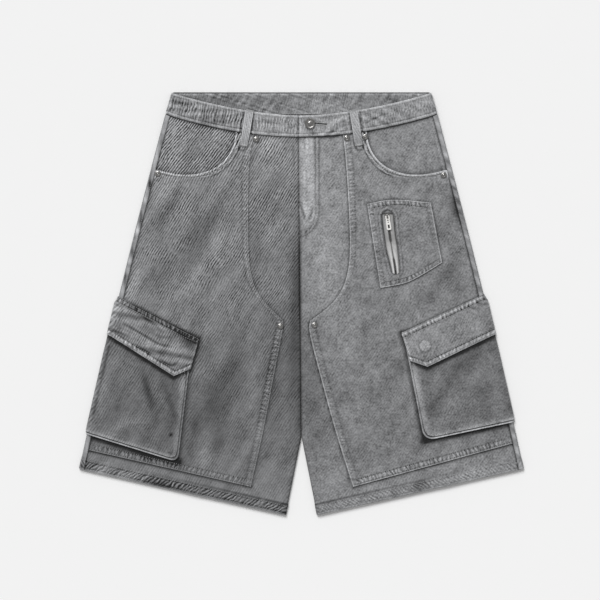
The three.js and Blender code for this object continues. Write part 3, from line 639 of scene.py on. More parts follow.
class NodeBuilder:
    """Short calls for building a material's nodes."""

    def __init__(self, name: str) -> None:
        """Starts an empty material."""
        self.material = bpy.data.materials.new(name)
        self.material.use_nodes = True
        self.tree = self.material.node_tree
        self.tree.nodes.clear()
        self.shader = self.node("BsdfPrincipled")
        self.node("OutputMaterial", Surface=self.shader.outputs[0])

    def feed(self, socket: bpy.types.NodeSocket, value: object) -> None:
        """Links a value or a socket into a socket, or sets its constant."""
        value = value.socket if isinstance(value, Value) else value
        if isinstance(value, bpy.types.NodeSocket):
            self.tree.links.new(value, socket)
        else:
            socket.default_value = value

    def fill(self, node: bpy.types.Node, inputs: dict[str, object]) -> None:
        """Feeds a node's inputs by name."""
        for name, value in inputs.items():
            self.feed(node.inputs[name.replace("_", " ")], value)

    def node(self, kind: str, **inputs: object) -> bpy.types.Node:
        """Adds a node and feeds its named inputs."""
        made = self.tree.nodes.new(f"ShaderNode{kind}")
        self.fill(made, inputs)
        return made

    def math(self, operation: str, a: object, b: object = 0.0) -> Value:
        """One math node's result, from two numbers."""
        node = self.node("Math")
        node.operation = operation
        self.feed(node.inputs[0], a)
        self.feed(node.inputs[1], b)
        return Value(self, node.outputs[0])

    def carried(self, name: str, output: str = "Fac") -> Value:
        """A number that the mesh carries, or a vector by that output's name."""
        node = self.node("Attribute")
        node.attribute_name = name
        return Value(self, node.outputs[output])

    def object_place(self) -> Value:
        """Object coordinates."""
        return Value(self, self.node("TexCoord").outputs["Object"])

    def split(self, vector: Value) -> list[Value]:
        """The three parts of a vector."""
        return [Value(self, part) for part in self.node("SeparateXYZ", Vector=vector).outputs]

    def noise(self, place: Value, scale: float, detail: float = 2.0, rough: float = 0.5) -> Value:
        """Noise about zero, roughly -1 to 1, at a scale per unit of the coordinates."""
        node = self.node("TexNoise", Vector=place, Scale=scale, Detail=detail, Roughness=rough)
        return (Value(self, node.outputs[0]) - 0.5) * 2.0

    def stretched_noise(self, x: Value, y: Value, sizes: tuple[float, float], detail: float) -> Value:
        """Noise whose grain has its own size along each of two directions."""
        place = self.node("CombineXYZ", X=x * (1 / sizes[0]), Y=y * (1 / sizes[1]))
        return self.noise(Value(self, place.outputs[0]), 1.0, detail)

    def dress(self, value: Value, tint: tuple[float, float, float], **shader: object) -> None:
        """Gives the shader a tinted grey and its other inputs."""
        red, green, blue = (value * share for share in tint)
        colour = self.node("CombineColor", Red=red, Green=green, Blue=blue)
        self.fill(self.shader, {"Base Color": colour.outputs[0], **shader})

    def bump(self, height: Value, distance: float, strength: float) -> None:
        """Bumps the shader's surface by a height in the same unit as distance."""
        node = self.node("Bump", Strength=strength, Distance=distance, Height=height)
        self.fill(self.shader, {"Normal": node.outputs[0]})


@dataclass(frozen=True)
class Finish:
    """A surface finish, whose material is built once."""

    name: str
    tone: float

    def material(self) -> bpy.types.Material:
        """Builds the material, or gives the one already built."""
        found = bpy.data.materials.get(self.name)
        if found:
            return found
        nodes = NodeBuilder(self.name)
        self.build(nodes)
        return nodes.material

    def build(self, nodes: NodeBuilder) -> None:
        """Builds the finish in an empty material."""
        raise NotImplementedError


@dataclass(frozen=True)
class DenimFinish(Finish):
    """Stone-washed grey twill, with uneven streaks, mottling and light worn edges."""

    streak: float = 0.3
    streak_turn: float = 54.0
    speckle: float = 0.16
    mottle: float = 0.2
    wear: float = 0.12
    bands: float = 0.2
    fade: float = 0.0
    period: float = 3.45
    twill_period: float = 1.2
    worn_width: float = 2.5
    darkest: float = 0.93
    tint: tuple[float, float, float] = (0.985, 0.995, 1.02)

    def build(self, nodes: NodeBuilder) -> None:
        """Lays the weave, the streaks and the wear over the tone, then the piece's own shade."""
        place = nodes.carried("cloth", "Vector")
        x, y, _ = nodes.split(place)
        blocks, rows = self.sewn(nodes, place)
        turn = math.radians(self.streak_turn)
        run = x * math.cos(turn) + y * math.sin(turn)
        beside = x * -math.sin(turn) + y * math.cos(turn)
        beat = beside * (2 * math.pi / self.period) + nodes.noise(place, 1 / 55) * 10.0
        wave = (beat + nodes.noise(place, 1 / 9, 1.0) * 0.9).sine()
        dash = (nodes.stretched_noise(run, beside, (7, 3), 1.0) * 1.5 + 0.85).above(0.0)
        broken = nodes.stretched_noise(run, beside, (5, 1.7), 1.0)
        region = (nodes.noise(place, 1 / 42) * 1.3 + 0.85).above(0.2)
        region = region * (y * (self.fade / 620) + (1 - 0.28 * self.fade)).above(0.3)
        streak = (wave * dash + broken * 1.1) * region
        bands = nodes.stretched_noise(run, beside, (75, 17), 2.0)
        speck = nodes.noise(place, 1 / 3, 2.0, 0.75)
        patches = nodes.noise(place, 1 / 9, 2.0, 0.6)
        mottle = nodes.noise(place, 1 / 30, 4.0, 0.6)
        twill = ((x * -0.82 + y * 0.57) * (2 * math.pi / self.twill_period)).sine()

        value = streak * self.streak + speck * self.speckle + patches * self.mottle + mottle * (self.mottle * 1.3)
        value = (value + bands * self.bands + twill * 0.06 + 1.0).above(0.12) * self.tone
        worn = (nodes.carried("edge") * (1 / self.worn_width)).bell()
        value = value + worn * (nodes.noise(place, 1 / 5, 3.0) * 1.4 + 0.9) * self.wear
        # Painted shade: the carried painted shade, with painted light and shade on the puckers and the darker dotted
        # rows, darkens the colour.
        shade = nodes.math("MINIMUM", nodes.carried("shade") - blocks * 0.55 + rows * 0.5, self.darkest)
        value = (value * nodes.math("SUBTRACT", 1.0, shade)).above(0.012)
        nodes.dress(value, self.tint, Roughness=mottle * 0.08 + 0.86, Specular_IOR_Level=0.18,
                    Sheen_Weight=0.25, Sheen_Roughness=0.45)
        height = streak * (self.streak * 0.7) + twill * 0.14 + speck * 0.5 + patches * 0.6 + blocks - rows
        nodes.bump(height, 0.0006, 0.9)

    @staticmethod
    def sewn(nodes: NodeBuilder, place: Value) -> tuple[Value, Value]:
        """Uneven puckers between two rows of stitches, as bumps with painted light and shade, and the rows' own darker
        dotted lines.

        Args:
            nodes: The material's nodes.
            place: The place on the flat cloth.

        Returns:
            The puckers, about zero, for the bumps and their painted light and shade, and the dots, from zero up.
        """
        run, off, strength = nodes.split(nodes.carried("seam", "Vector"))
        wave = (run * (2 * math.pi / 6.2) + nodes.noise(place, 1 / 16) * 7.5).sine()
        wave = wave * (nodes.noise(place, 1 / 11) * 1.6 + 0.8).above(0.1) * strength
        middle = nodes.math("ABSOLUTE", off - SEAM_MIDDLE)
        near = middle * (1 / 3.2)
        row = ((middle - 2.8) * (1 / 0.8)).bell()
        dots = (run * 2.03).sine() * 0.4 + 0.6
        return wave * (near * near).bell(), row * dots * strength


class TapeFinish(Finish):
    """Pale woven zip tape."""

    def build(self, nodes: NodeBuilder) -> None:
        """Lays ribs and a light mottle over the tone."""
        place = nodes.carried("cloth", "Vector")
        rib = (nodes.split(place)[1] * (2 * math.pi / 0.9)).sine()
        value = (rib * 0.06 + nodes.noise(place, 1 / 4, 3.0) * 0.22 + 1.0) * self.tone
        value = value * nodes.math("SUBTRACT", 1.0, nodes.carried("shade"))
        nodes.dress(value, (1.0, 1.0, 1.0), Roughness=0.8, Specular_IOR_Level=0.25)
        nodes.bump(rib, 0.00012, 0.6)


class ThreadFinish(Finish):
    """Twisted sewing thread, in the cloth's own greys."""

    def build(self, nodes: NodeBuilder) -> None:
        """Lays an uneven tone and a fine grain."""
        place = nodes.object_place()
        value = (nodes.noise(place, 160.0, 3.0) * 0.6 + 1.0).above(0.3) * self.tone
        nodes.dress(value, (0.99, 1.0, 1.01), Roughness=0.7, Specular_IOR_Level=0.3)
        nodes.bump(nodes.noise(place, 2600.0, 1.0), 0.0001, 0.5)


@dataclass(frozen=True)
class MetalFinish(Finish):
    """Plated metal with fine scratches and darker worn patches."""

    roughness: float
    tarnish: float
    metallic: float = 1.0

    def build(self, nodes: NodeBuilder) -> None:
        """Lays patches of tarnish over the tone."""
        place = nodes.object_place()
        patchy = nodes.noise(place, 420.0, 4.0, 0.65)
        nodes.dress((patchy * self.tarnish + 1.0) * self.tone, (1.0, 0.985, 0.96),
                    Roughness=patchy * 0.12 + self.roughness, Metallic=self.metallic)
        nodes.bump(nodes.noise(place, 1500.0, 2.0), 0.00008, 0.5)


STREAKED = DenimFinish("denim_streaked", 0.212, 0.7, 57, 0.5, 0.3, 0.05, 0.5, 1.0)
STREAKED_TOP = DenimFinish("denim_streaked_overlay", 0.212, 0.7, 59, 0.5, 0.3, 0.05, 0.5, 1.0)
STREAKED_FACING = DenimFinish("denim_streaked_facing", 0.232, 1.1, 52, 0.6, 0.3, 0.05, 0.35)
SOFT = DenimFinish("denim_soft", 0.262, 0.12, 58, 1.0, 0.42, 0.05, 0.24)
SOFT_TOP = DenimFinish("denim_soft_overlay", 0.236, 0.12, 58, 1.0, 0.48, 0.06, 0.26)
BAND = DenimFinish("denim_band", 0.247, 0.14, 74, 0.9, 0.6, 0.06, 0.3)
LOOP = DenimFinish("denim_loop", 0.36, 0.2, 70, 0.8, 0.4, 0.08, 0.15)
BACK = DenimFinish("denim_back", 0.2, 0.3, 54, 0.4, 0.26, 0.05, 0.3)
TAPE = TapeFinish("zip_tape_weave", 0.46)
THREAD = ThreadFinish("thread_grey", 0.3)
LIGHT_THREAD = ThreadFinish("thread_light", 0.42)
NICKEL = MetalFinish("antique_nickel", 0.3, 0.28, 0.5)
# A near-white, half-metallic copy of the zip metal, a painted highlight for the pull tab.
PAINTED_BRIGHT_ZIP_METAL = MetalFinish("bright_zip_metal", 0.96, 0.34, 0.06, 0.35)
SHORTS = LaidGarment()


def cloth_for(side: Side, overlay: bool = False) -> DenimFinish:
    """The denim of a leg: streaked on the wearer's right, softer on the left."""
    if side is Side.RIGHT:
        return STREAKED_TOP if overlay else STREAKED
    return SOFT_TOP if overlay else SOFT


def make_object(name: str, vertices: Array, faces: Array | list, finish: Finish,
                rounded_look: bool = True) -> bpy.types.Object:
    """Writes a mesh object at the origin.

    Args:
        name: The piece's name.
        vertices: Places in millimetres.
        faces: Vertex numbers of each face.
        finish: What it is made of.
        rounded_look: Whether its faces are shaded as one smooth surface.

    Returns:
        The new object, in the scene.
    """
    mesh = bpy.data.meshes.new(name)
    mesh.from_pydata((np.asarray(vertices) * MM).tolist(), [], faces if isinstance(faces, list) else faces.tolist())
    mesh.materials.append(finish.material())
    mesh.polygons.foreach_set("use_smooth", [rounded_look] * len(mesh.polygons))
    mesh.update()
    made = bpy.data.objects.new(name, mesh)
    bpy.context.scene.collection.objects.link(made)
    return made


def cut_through(made: bpy.types.Object, cutter: bpy.types.Object) -> None:
    """Cuts a shape out of a piece, and removes the cutting shape."""
    cut = made.modifiers.new("cut", "BOOLEAN")
    cut.object, cut.operation, cut.solver = cutter, "DIFFERENCE", "EXACT"
    bpy.context.view_layer.objects.active = made
    bpy.ops.object.modifier_apply(modifier="cut")
    bpy.data.objects.remove(cutter)


@dataclass
class ClothPiece:
    """One cut of cloth on a grid: its outer surface, its wall and what its finish reads."""

    name: str
    surface: Array
    flat: Array
    wall: float
    relief: Array
    edge: Array
    shade: Array
    facing: Facing = Facing.UP
    look_at: tuple[int, int] | None = None
    weave: Array | None = None
    seam: Array | None = None

    def __post_init__(self) -> None:
        """Adds the creases, with their painted shade and light, and the patches of wash tone and painted light and
        shade that lie on this piece.
        """
        plan = self.surface[..., :2]
        for crease in CREASE_AND_SHADOW_LINES.get(self.name, ()):
            relief, shade = crease.at(plan)
            up = self.surface[..., 2] > SHORTS.fold_radius
            self.relief = self.relief + relief * up
            self.shade = self.shade + shade * up
        # Patches of wash tone and painted light and shade, stronger on the wearer's right leg.
        wash_and_shade = sum(patch.at(plan[..., 0], plan[..., 1]) for patch in WASH_AND_SHADE_PATCHES)
        wash_and_shade = wash_and_shade * mix(1.9, 1.25, smooth((plan[..., 0] + 12) / 24))
        self.shade = np.clip(self.shade + wash_and_shade, -1.3, 0.93)

    def normals(self) -> Array:
        """Outward normals of the smooth surface."""
        cross = np.cross(np.gradient(self.surface, axis=1), np.gradient(self.surface, axis=0))
        return cross / np.maximum(np.linalg.norm(cross, axis=2, keepdims=True), 1e-9) * self.flip()

    def flip(self) -> int:
        """1 where the grid's own winding faces outwards, -1 where it must be turned."""
        row, column = self.look_at or (self.surface.shape[0] // 2, self.surface.shape[1] // 2)
        du = self.surface[row, column + 1] - self.surface[row, column]
        dv = self.surface[row + 1, column] - self.surface[row, column]
        return 1 if np.cross(du, dv)[2] * self.facing.value > 0 else -1

    def outer(self) -> Array:
        """The outer surface with its relief, kept off the floor's underside."""
        outer = self.surface + self.normals() * self.relief[..., None]
        outer[..., 2] = np.maximum(outer[..., 2], 0)
        return outer

    def build(self, finish: Finish) -> bpy.types.Object:
        """Writes the closed wall as an object.

        Args:
            finish: What it is made of.

        Returns:
            The new object.
        """
        outer, inner = self.outer(), self.surface - self.normals() * self.wall
        rows, columns = self.surface.shape[:2]
        top = np.arange(rows * columns).reshape(rows, columns)
        low = top + rows * columns
        faces = np.concatenate([np.stack([corner.ravel() for corner in corners], axis=1) for corners in (
            (top[:-1, :-1], top[:-1, 1:], top[1:, 1:], top[1:, :-1]),
            (low[:-1, :-1], low[1:, :-1], low[1:, 1:], low[:-1, 1:]),
            (top[0, 1:], top[0, :-1], low[0, :-1], low[0, 1:]),
            (top[-1, :-1], top[-1, 1:], low[-1, 1:], low[-1, :-1]),
            (top[:-1, 0], top[1:, 0], low[1:, 0], low[:-1, 0]),
            (top[1:, -1], top[:-1, -1], low[:-1, -1], low[1:, -1]),
        )])
        vertices = np.concatenate([outer.reshape(-1, 3), inner.reshape(-1, 3)])
        made = make_object(f"{self.name}_cloth", vertices, faces[:, ::self.flip()], finish)
        self.write_attributes(made.data)
        return made

    def write_attributes(self, mesh: bpy.types.Mesh) -> None:
        """Stores the unrolled place, the nearest seam, the edge and the shade on both faces of the wall."""
        weave = self.flat if self.weave is None else self.weave
        seam = np.zeros(self.surface.shape) if self.seam is None else self.seam
        for name, values in (("cloth", np.dstack([weave, np.zeros(weave.shape[:2])])), ("seam", seam)):
            both = np.concatenate([values.ravel()] * 2)
            mesh.attributes.new(name, "FLOAT_VECTOR", "POINT").data.foreach_set("vector", both)
        for name, values in (("edge", self.edge), ("shade", self.shade)):
            both = np.concatenate([values.ravel()] * 2)
            mesh.attributes.new(name, "FLOAT", "POINT").data.foreach_set("value", both)

    def cut_size(self) -> tuple[tuple[float, float], float]:
        """Width and length of the flat cut and its area, in metres."""
        span = np.ptp(self.flat.reshape(-1, 2), axis=0) * MM
        a = self.flat[1:, 1:] - self.flat[:-1, :-1]
        b = self.flat[1:, :-1] - self.flat[:-1, 1:]
        area = 0.5 * np.abs(a[..., 0] * b[..., 1] - a[..., 1] * b[..., 0]).sum() * MM * MM
        return (float(span[0]), float(span[1])), float(area)

    def dress(self, finish: Finish, *rests_on: str, held: str = "laid", slot: str = "denim") -> bpy.types.Object:
        """Args:
            finish: What it is made of.
            rests_on: Names of what it lies on; not used.
            held: How the sheet lies; not used.
            slot: The record's material slot; not used.

        Returns:
            The new object.
        """
        made = self.build(finish)
        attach(made, GARMENT)
        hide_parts(self.name)
        size, area = self.cut_size()
        LOG.info("%s: %d faces, cut %.0f by %.0f mm", self.name, len(made.data.polygons), size[0] / MM, size[1] / MM)
        return made


@dataclass
class Stitching:
    """Runs of sewing thread, joined into one mesh for each group of seams."""

    name: str
    finish: ThreadFinish
    pitch: float = 3.4
    length: float = 2.1
    width: float = 0.85
    vertices: list[Array] = field(default_factory=list)
    faces: list[Array] = field(default_factory=list)
    count: int = 0

    RINGS = ((-0.5, 0.35), (-0.38, 0.85), (0.0, 1.0), (0.38, 0.85), (0.5, 0.35))
    SIDES = 5

    def run(self, path: Array, lift: float = 0.05, up: Points = (0.0, 0.0, 1.0)) -> None:
        """Adds stitches along a line in space.

        Args:
            path: The line, in millimetres.
            lift: Height of a stitch's middle above the line.
            up: Direction away from the cloth.
        """
        path = np.asarray(path)
        total = lengths(path)[-1]
        count = int(total / self.pitch)
        if count < 1:
            return
        middle = (np.arange(count) + 0.5) / count
        half = 0.5 * self.length / total
        start, end = along(path, middle - half), along(path, middle + half)
        tangent = end - start
        tangent /= np.linalg.norm(tangent, axis=1, keepdims=True)
        side = np.cross(tangent, np.tile(np.array(up), (count, 1)))
        side /= np.linalg.norm(side, axis=1, keepdims=True)
        away = np.cross(side, tangent)
        centre = 0.5 * (start + end) + away * lift
        rings = []
        for place, fat in self.RINGS:
            for turn in 2 * math.pi * (np.arange(self.SIDES) + 0.5) / self.SIDES:
                offset = side * math.cos(turn) * self.width / 2 + away * math.sin(turn) * self.width / 2.4
                rings.append(centre + tangent * place * self.length + offset * fat - away * 0.5 * abs(place))
        block = np.stack(rings, axis=1).reshape(-1, 3)
        size = len(self.RINGS) * self.SIDES
        pattern, last = [], size - self.SIDES
        for ring in range(0, last, self.SIDES):
            for k in range(self.SIDES):
                a, b = ring + k, ring + (k + 1) % self.SIDES
                pattern += [[a, b, b + self.SIDES], [a, b + self.SIDES, a + self.SIDES]]
        for k in range(1, self.SIDES - 1):
            pattern += [[0, k + 1, k], [last, last + k, last + k + 1]]
        faces = (np.array(pattern)[None] + (np.arange(count) * size)[:, None, None]).reshape(-1, 3)
        self.vertices.append(block)
        self.faces.append(faces + self.count)
        self.count += len(block)

    def bar(self, centre: Array, turn: float, length: float, width: float = 2.2) -> None:
        """Adds a bartack: a close row of threads across a short line."""
        count = max(3, int(length / 0.75))
        axis = np.array([math.cos(turn), math.sin(turn), 0.0])
        cross = np.array([-math.sin(turn), math.cos(turn), 0.0])
        kept = self.pitch, self.length
        self.pitch, self.length = width * 0.99, width * 0.96
        for share in np.linspace(-0.5, 0.5, count):
            middle = np.asarray(centre) + axis * share * length
            self.run(np.array([middle - cross * width / 2, middle + cross * width / 2]), 0.15)
        self.pitch, self.length = kept

    def build(self) -> bpy.types.Object:
        """Writes all stitches of the group as one object."""
        made = make_object(self.name, np.concatenate(self.vertices), np.concatenate(self.faces), self.finish)
        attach(made, GARMENT)
        LOG.info("%s: %d triangles", self.name, len(made.data.polygons))
        return made


KNEE_EDGE = {
    Side.RIGHT: ((262, 67), (224, 78), (149, 80), (73, 79.5), (37, 74.5), (12, 64), (-8, 46), (-26, 27),
                 (-40, 27.5), (-110, 41.5), (-191, 56.5), (-275, 75.6)),
    Side.LEFT: ((262, 61), (224, 66), (149, 71), (73, 73.7), (37, 68), (12, 57), (-8, 38), (-26, 13),
                (-40, 10.5), (-110, 28.6), (-191, 50.7), (-275, 77.5)),
}
KNEE_HEM = {Side.RIGHT: -218.0, Side.LEFT: -208.0}
KNEE_POINT = 7


@dataclass(frozen=True)
class Lines:
    """The cut lines on one side that more than one piece uses, in plan."""

    side: Side

    @property
    def sign(self) -> int:
        """The sign of X on this side."""
        return self.side.value

    def scoop(self) -> Array:
        """Edge of the scoop opening, from the waist seam to the outseam."""
        curve = bezier([(self.sign * x, y) for x, y in ((98.5, 256.6), (100, 206), (150, 180), (213, 199.5))])
        return np.vstack([curve, [[self.sign * 218.6, 200.3]]])

    def outer_edge(self, bottom: float) -> Array:
        """The fronts' outer boundary: the scoop, then the outseam down to a height."""
        return np.vstack([self.scoop(), SHORTS.side_line(self.sign, np.linspace(198, bottom, 60))])

    def inner_edge(self) -> Array:
        """Centre front, then the leg's inner edge down to the hem."""
        y = np.linspace(SHORTS.seam_centre, SHORTS.hem_inner, 90)
        return np.stack([SHORTS.inner_edge(self.sign, y), y], axis=-1)

    def knee(self) -> Array:
        """Inner edge of the double-knee overlay, rounded but for its point at the rivet."""
        rows = [(self.sign * x, y) for y, x in KNEE_EDGE[self.side]]
        line = np.vstack([soft_line(rows[: KNEE_POINT + 1]), soft_line(rows[KNEE_POINT:])[1:]])
        line = line[line[:, 1] < SHORTS.seam_y(line[:, 0])]
        return np.vstack([[[line[0, 0], float(SHORTS.seam_y(line[0, 0]))]], line])

    def knee_hem(self) -> Array:
        """Bottom edge of the overlay, from its inner to its outer corner."""
        return np.array([self.knee()[-1], SHORTS.side_line(self.sign, np.array([KNEE_HEM[self.side]]))[0]])

    def waist(self, near: float, far: float) -> Array:
        """The front waist seam between two distances from the middle."""
        x = np.linspace(near, far, 24)
        return np.stack([x, SHORTS.seam_y(x)], axis=-1)

    def hem(self) -> Array:
        """The hem line, from the inseam to the outseam."""
        outer = SHORTS.side_line(self.sign, np.array([SHORTS.hem_outer]))[0]
        return np.array([(float(SHORTS.inner_edge(self.sign, SHORTS.hem_inner)), SHORTS.hem_inner), outer])


HEM_DEPTH = 15.5
ROPING = {Side.RIGHT: 1.0, Side.LEFT: 0.35}


def hem_band(distance: Array, run: Array, seed: int, side: Side) -> tuple[Array, Array]:
    """Relief and shade of a turned-up hem.

    Args:
        distance: Distance from the hem's edge.
        run: Place along the hem.
        seed: Picks the roping's phases.
        side: The leg, which sets how strongly the roping is shaded.

    Returns:
        The height to add and the darkening.
    """
    strength = ROPING[side]
    inside = 1 - smooth((distance - HEM_DEPTH) / 1.6)
    rope = ripple(run + distance * 0.9, 12.4, seed)
    window = inside * smooth(distance / 2.0)
    height = 0.7 * inside + 0.4 * rope * window - 0.35 * peak(distance, HEM_DEPTH - 1.8, 0.8)
    # Painted light and shade on the roping, lighter on the softer leg, and a dark line along the top of the turned-up
    # band.
    dark = window * (strength * (0.18 - 0.3 * np.clip(rope, -1, 1)) - 0.12 * (1 - strength))
    return height, dark + (0.75 - 0.2 * strength) * peak(distance, HEM_DEPTH + 0.3, 0.9)


def hem_seam(distance: Array, run: Array, side: Side) -> Array:
    """The slanted roping of a hem, for the finish to read."""
    strength = (1 - smooth((distance - HEM_DEPTH) / 1.6)) * (1.1 if side is Side.RIGHT else 0.6)
    return seam_field((run + 0.9 * distance, 0.6 * distance, strength))


@dataclass
class Fronts:
    """The two front panels, the lapped fly and its placket."""

    wall: float = 1.3
    lap_rise: float = 1.6
    lap_from: float = -4
    stitch_x: float = 26.4
    stitch_turn: float = 139
    stitch_end: float = 101
    fly_rows: tuple[float, ...] = (0.0, 5.5)
    stitches: Stitching = field(default_factory=lambda: Stitching("stitching_fronts", THREAD))

    def fly_inside(self, x: Array, y: Array) -> Array:
        """Distance inside the fly's curved row of stitches, negative outside it."""
        share = np.clip((self.stitch_turn - y) / (self.stitch_turn - self.stitch_end), 0, 1)
        edge = self.lap_from + (self.stitch_x - self.lap_from) * np.sqrt(1 - share**2)
        return np.minimum(edge - x, y - self.stitch_end)

    def fly_line(self, inset: float) -> Array:
        """The curved row of fly stitches, set in by a distance."""
        turn = np.linspace(0, math.pi / 2, 20)
        reach = self.stitch_x - self.lap_from - inset
        depth = self.stitch_turn - self.stitch_end - inset
        curve = np.stack([self.lap_from + reach * np.cos(turn), self.stitch_turn - depth * np.sin(turn)], axis=-1)
        return np.vstack([[[self.stitch_x - inset, 247]], curve])

    def panel(self, side: Side) -> None:
        """Builds one front panel."""
        lines, sign, right = Lines(side), side.value, side is Side.RIGHT
        corner = lines.scoop()[0]
        patch = Patch(lines.waist(SHORTS.inner_edge(sign, SHORTS.seam_centre), corner[0]), lines.hem(),
                      lines.inner_edge(), lines.outer_edge(SHORTS.hem_outer))
        patch.top[-1] = corner
        grid = patch.grid(Spacing(FINE_EDGE, PLAIN_EDGE, 2.9), Spacing((0, 0.4, 1, 2, 3.4), FINE_EDGE, 2.9))
        reach = Reach.of(grid)
        x, y = grid[..., 0], grid[..., 1]
        surface = self.curl(SHORTS.over_front(grid), reach.left, smooth((SHORTS.crotch + 8 - y) / 30))

        hem_height, shade = hem_band(reach.bottom, reach.left, 11 if right else 23, side)
        relief = hem_height + rounded(reach.bottom, 0.9) + rounded(reach.top, 0.4)
        relief += 0.16 * smooth(1 - (reach.bottom - 16) / 26) * ripple(reach.left, 13, 5) * (reach.bottom > 16)
        relief += 0.22 * np.exp(-reach.top / 9) * ripple(x, 7, 3)
        # Painted shadow under the waistband seam and along the inner and outer edges; on the right front a soft
        # darkening beside the centre front.
        shade += 0.66 * peak(reach.top, 0, 2.6) + 0.5 * peak(reach.left, 0, 2.6) + 0.55 * peak(reach.right, 0, 1.6)
        if right:
            shade += 0.3 * np.exp(-reach.left / 9) * smooth((120 - y) / 60)
        # Painted shadow along the overlay's inner and bottom edges, fading away from them.
        knee = distance_to(grid, lines.knee()[::3])
        hem_line = distance_to(grid, lines.knee_hem())
        shade += (0.34 if right else 0.62) * peak(knee, 0, 1.9) + 0.78 * peak(hem_line, 0, 2.3)
        shade += 0.1 * np.exp(-np.minimum(knee, hem_line) / 9)
        edge = np.minimum(reach.bottom, 40)
        if not right:
            inside = self.fly_inside(x, y)
            lap = smooth((inside + 3.5) / 4) * smooth(1 - (x - self.stitch_x - 4) / 2)
            surface[..., 2] += self.lap_rise * lap
            # The fly's stitch grooves, sunk and painted with shade.
            for inset in self.fly_rows:
                groove = peak(inside, inset, 1.0) * (y > self.stitch_end + inset)
                relief -= 0.4 * groove
                shade += 0.68 * groove
            relief += rounded(reach.left + 60 * (1 - lap), 0.9)
            shade -= smooth((inside - 5) / 5) * smooth((y - 116) / 24) * (0.2 + 0.26 * peak(x, 8, 7))
            edge = np.where((lap > 0.5) & (reach.left < 12), np.minimum(edge, reach.left), edge)
            relief += 0.3 * lap * peak(reach.top, 8, 12) * ripple(x, 9, 8)
        piece = ClothPiece(f"front_panel_{side.label}", surface, grid, self.wall, relief, edge,
                           np.clip(shade, -0.6, 0.85), seam=hem_seam(reach.bottom, reach.left, side))
        piece.dress(cloth_for(side), f"back_panel_{side.label}")
        row = int(np.argmin(np.abs(reach.bottom[:, 10] - HEM_DEPTH + 1.8)))
        self.stitches.run(piece.outer()[row, 4:-2])

    @staticmethod
    def curl(surface: Array, inward: Array, share: Array) -> Array:
        """Turns the strip beside the inseam down to half the leg's height.

        Args:
            surface: Places before the turn.
            inward: Distance from the inseam.
            share: 1 where the cloth turns under, 0 where it lies flat.

        Returns:
            The turned places.
        """
        radius = SHORTS.fold_radius
        arc = radius * 1.5
        turn = np.clip(1 - inward / arc, 0, 1) * 0.96 * math.pi / 2
        away = surface[:, -1, :2] - surface[:, 0, :2]
        away /= np.linalg.norm(away, axis=1, keepdims=True)
        reach = radius - radius * np.sin(turn) + np.maximum(0, inward - arc)
        near = (inward < arc) * share
        moved = surface.copy()
        moved[..., :2] = mix(surface[..., :2], surface[:, :1, :2] + away[:, None] * reach[..., None], near[..., None])
        moved[..., 2] = mix(surface[..., 2], radius + radius * np.cos(turn), near)
        return moved

    def placket(self) -> None:
        """Builds the fly placket under the lapped front."""
        left = np.array([[-3.4, 247.0], [-3.0, 113.0]])
        right = soft_line([(20, 247), (20, 146), (18, 128), (10, 115)])
        grid = Patch.between(left, right).grid(Spacing(PLAIN_EDGE, PLAIN_EDGE, 3), Spacing(PLAIN_EDGE, PLAIN_EDGE, 4))
        edge = Reach.of(grid).nearest("left", "right", "bottom")
        # The placket is darkened throughout, a painted shade under the lapped front.
        piece = ClothPiece("fly_placket", SHORTS.over_front(grid), grid, self.wall, rounded(edge, 0.5), edge,
                           np.full(edge.shape, 0.3))
        piece.dress(SOFT, "front_panel_left")

    def fly_stitches(self) -> None:
        """Sews the fly's two curved rows and its bartacks."""
        for inset in self.fly_rows:
            line = along(self.fly_line(inset), np.linspace(0, 0.995, 80))
            self.stitches.run(SHORTS.over_front(line, self.lap_rise), -0.15)
        for place, turn, size in (((2.5, 113.5), 1.52, 15), ((22.8, 136), 0.12, 7)):
            self.stitches.bar(SHORTS.over_front(place, self.lap_rise), turn, size)

    def build(self) -> None:
        """Builds everything of the fronts."""
        for side in Side:
            self.panel(side)
        self.placket()
        self.fly_stitches()
        self.stitches.build()


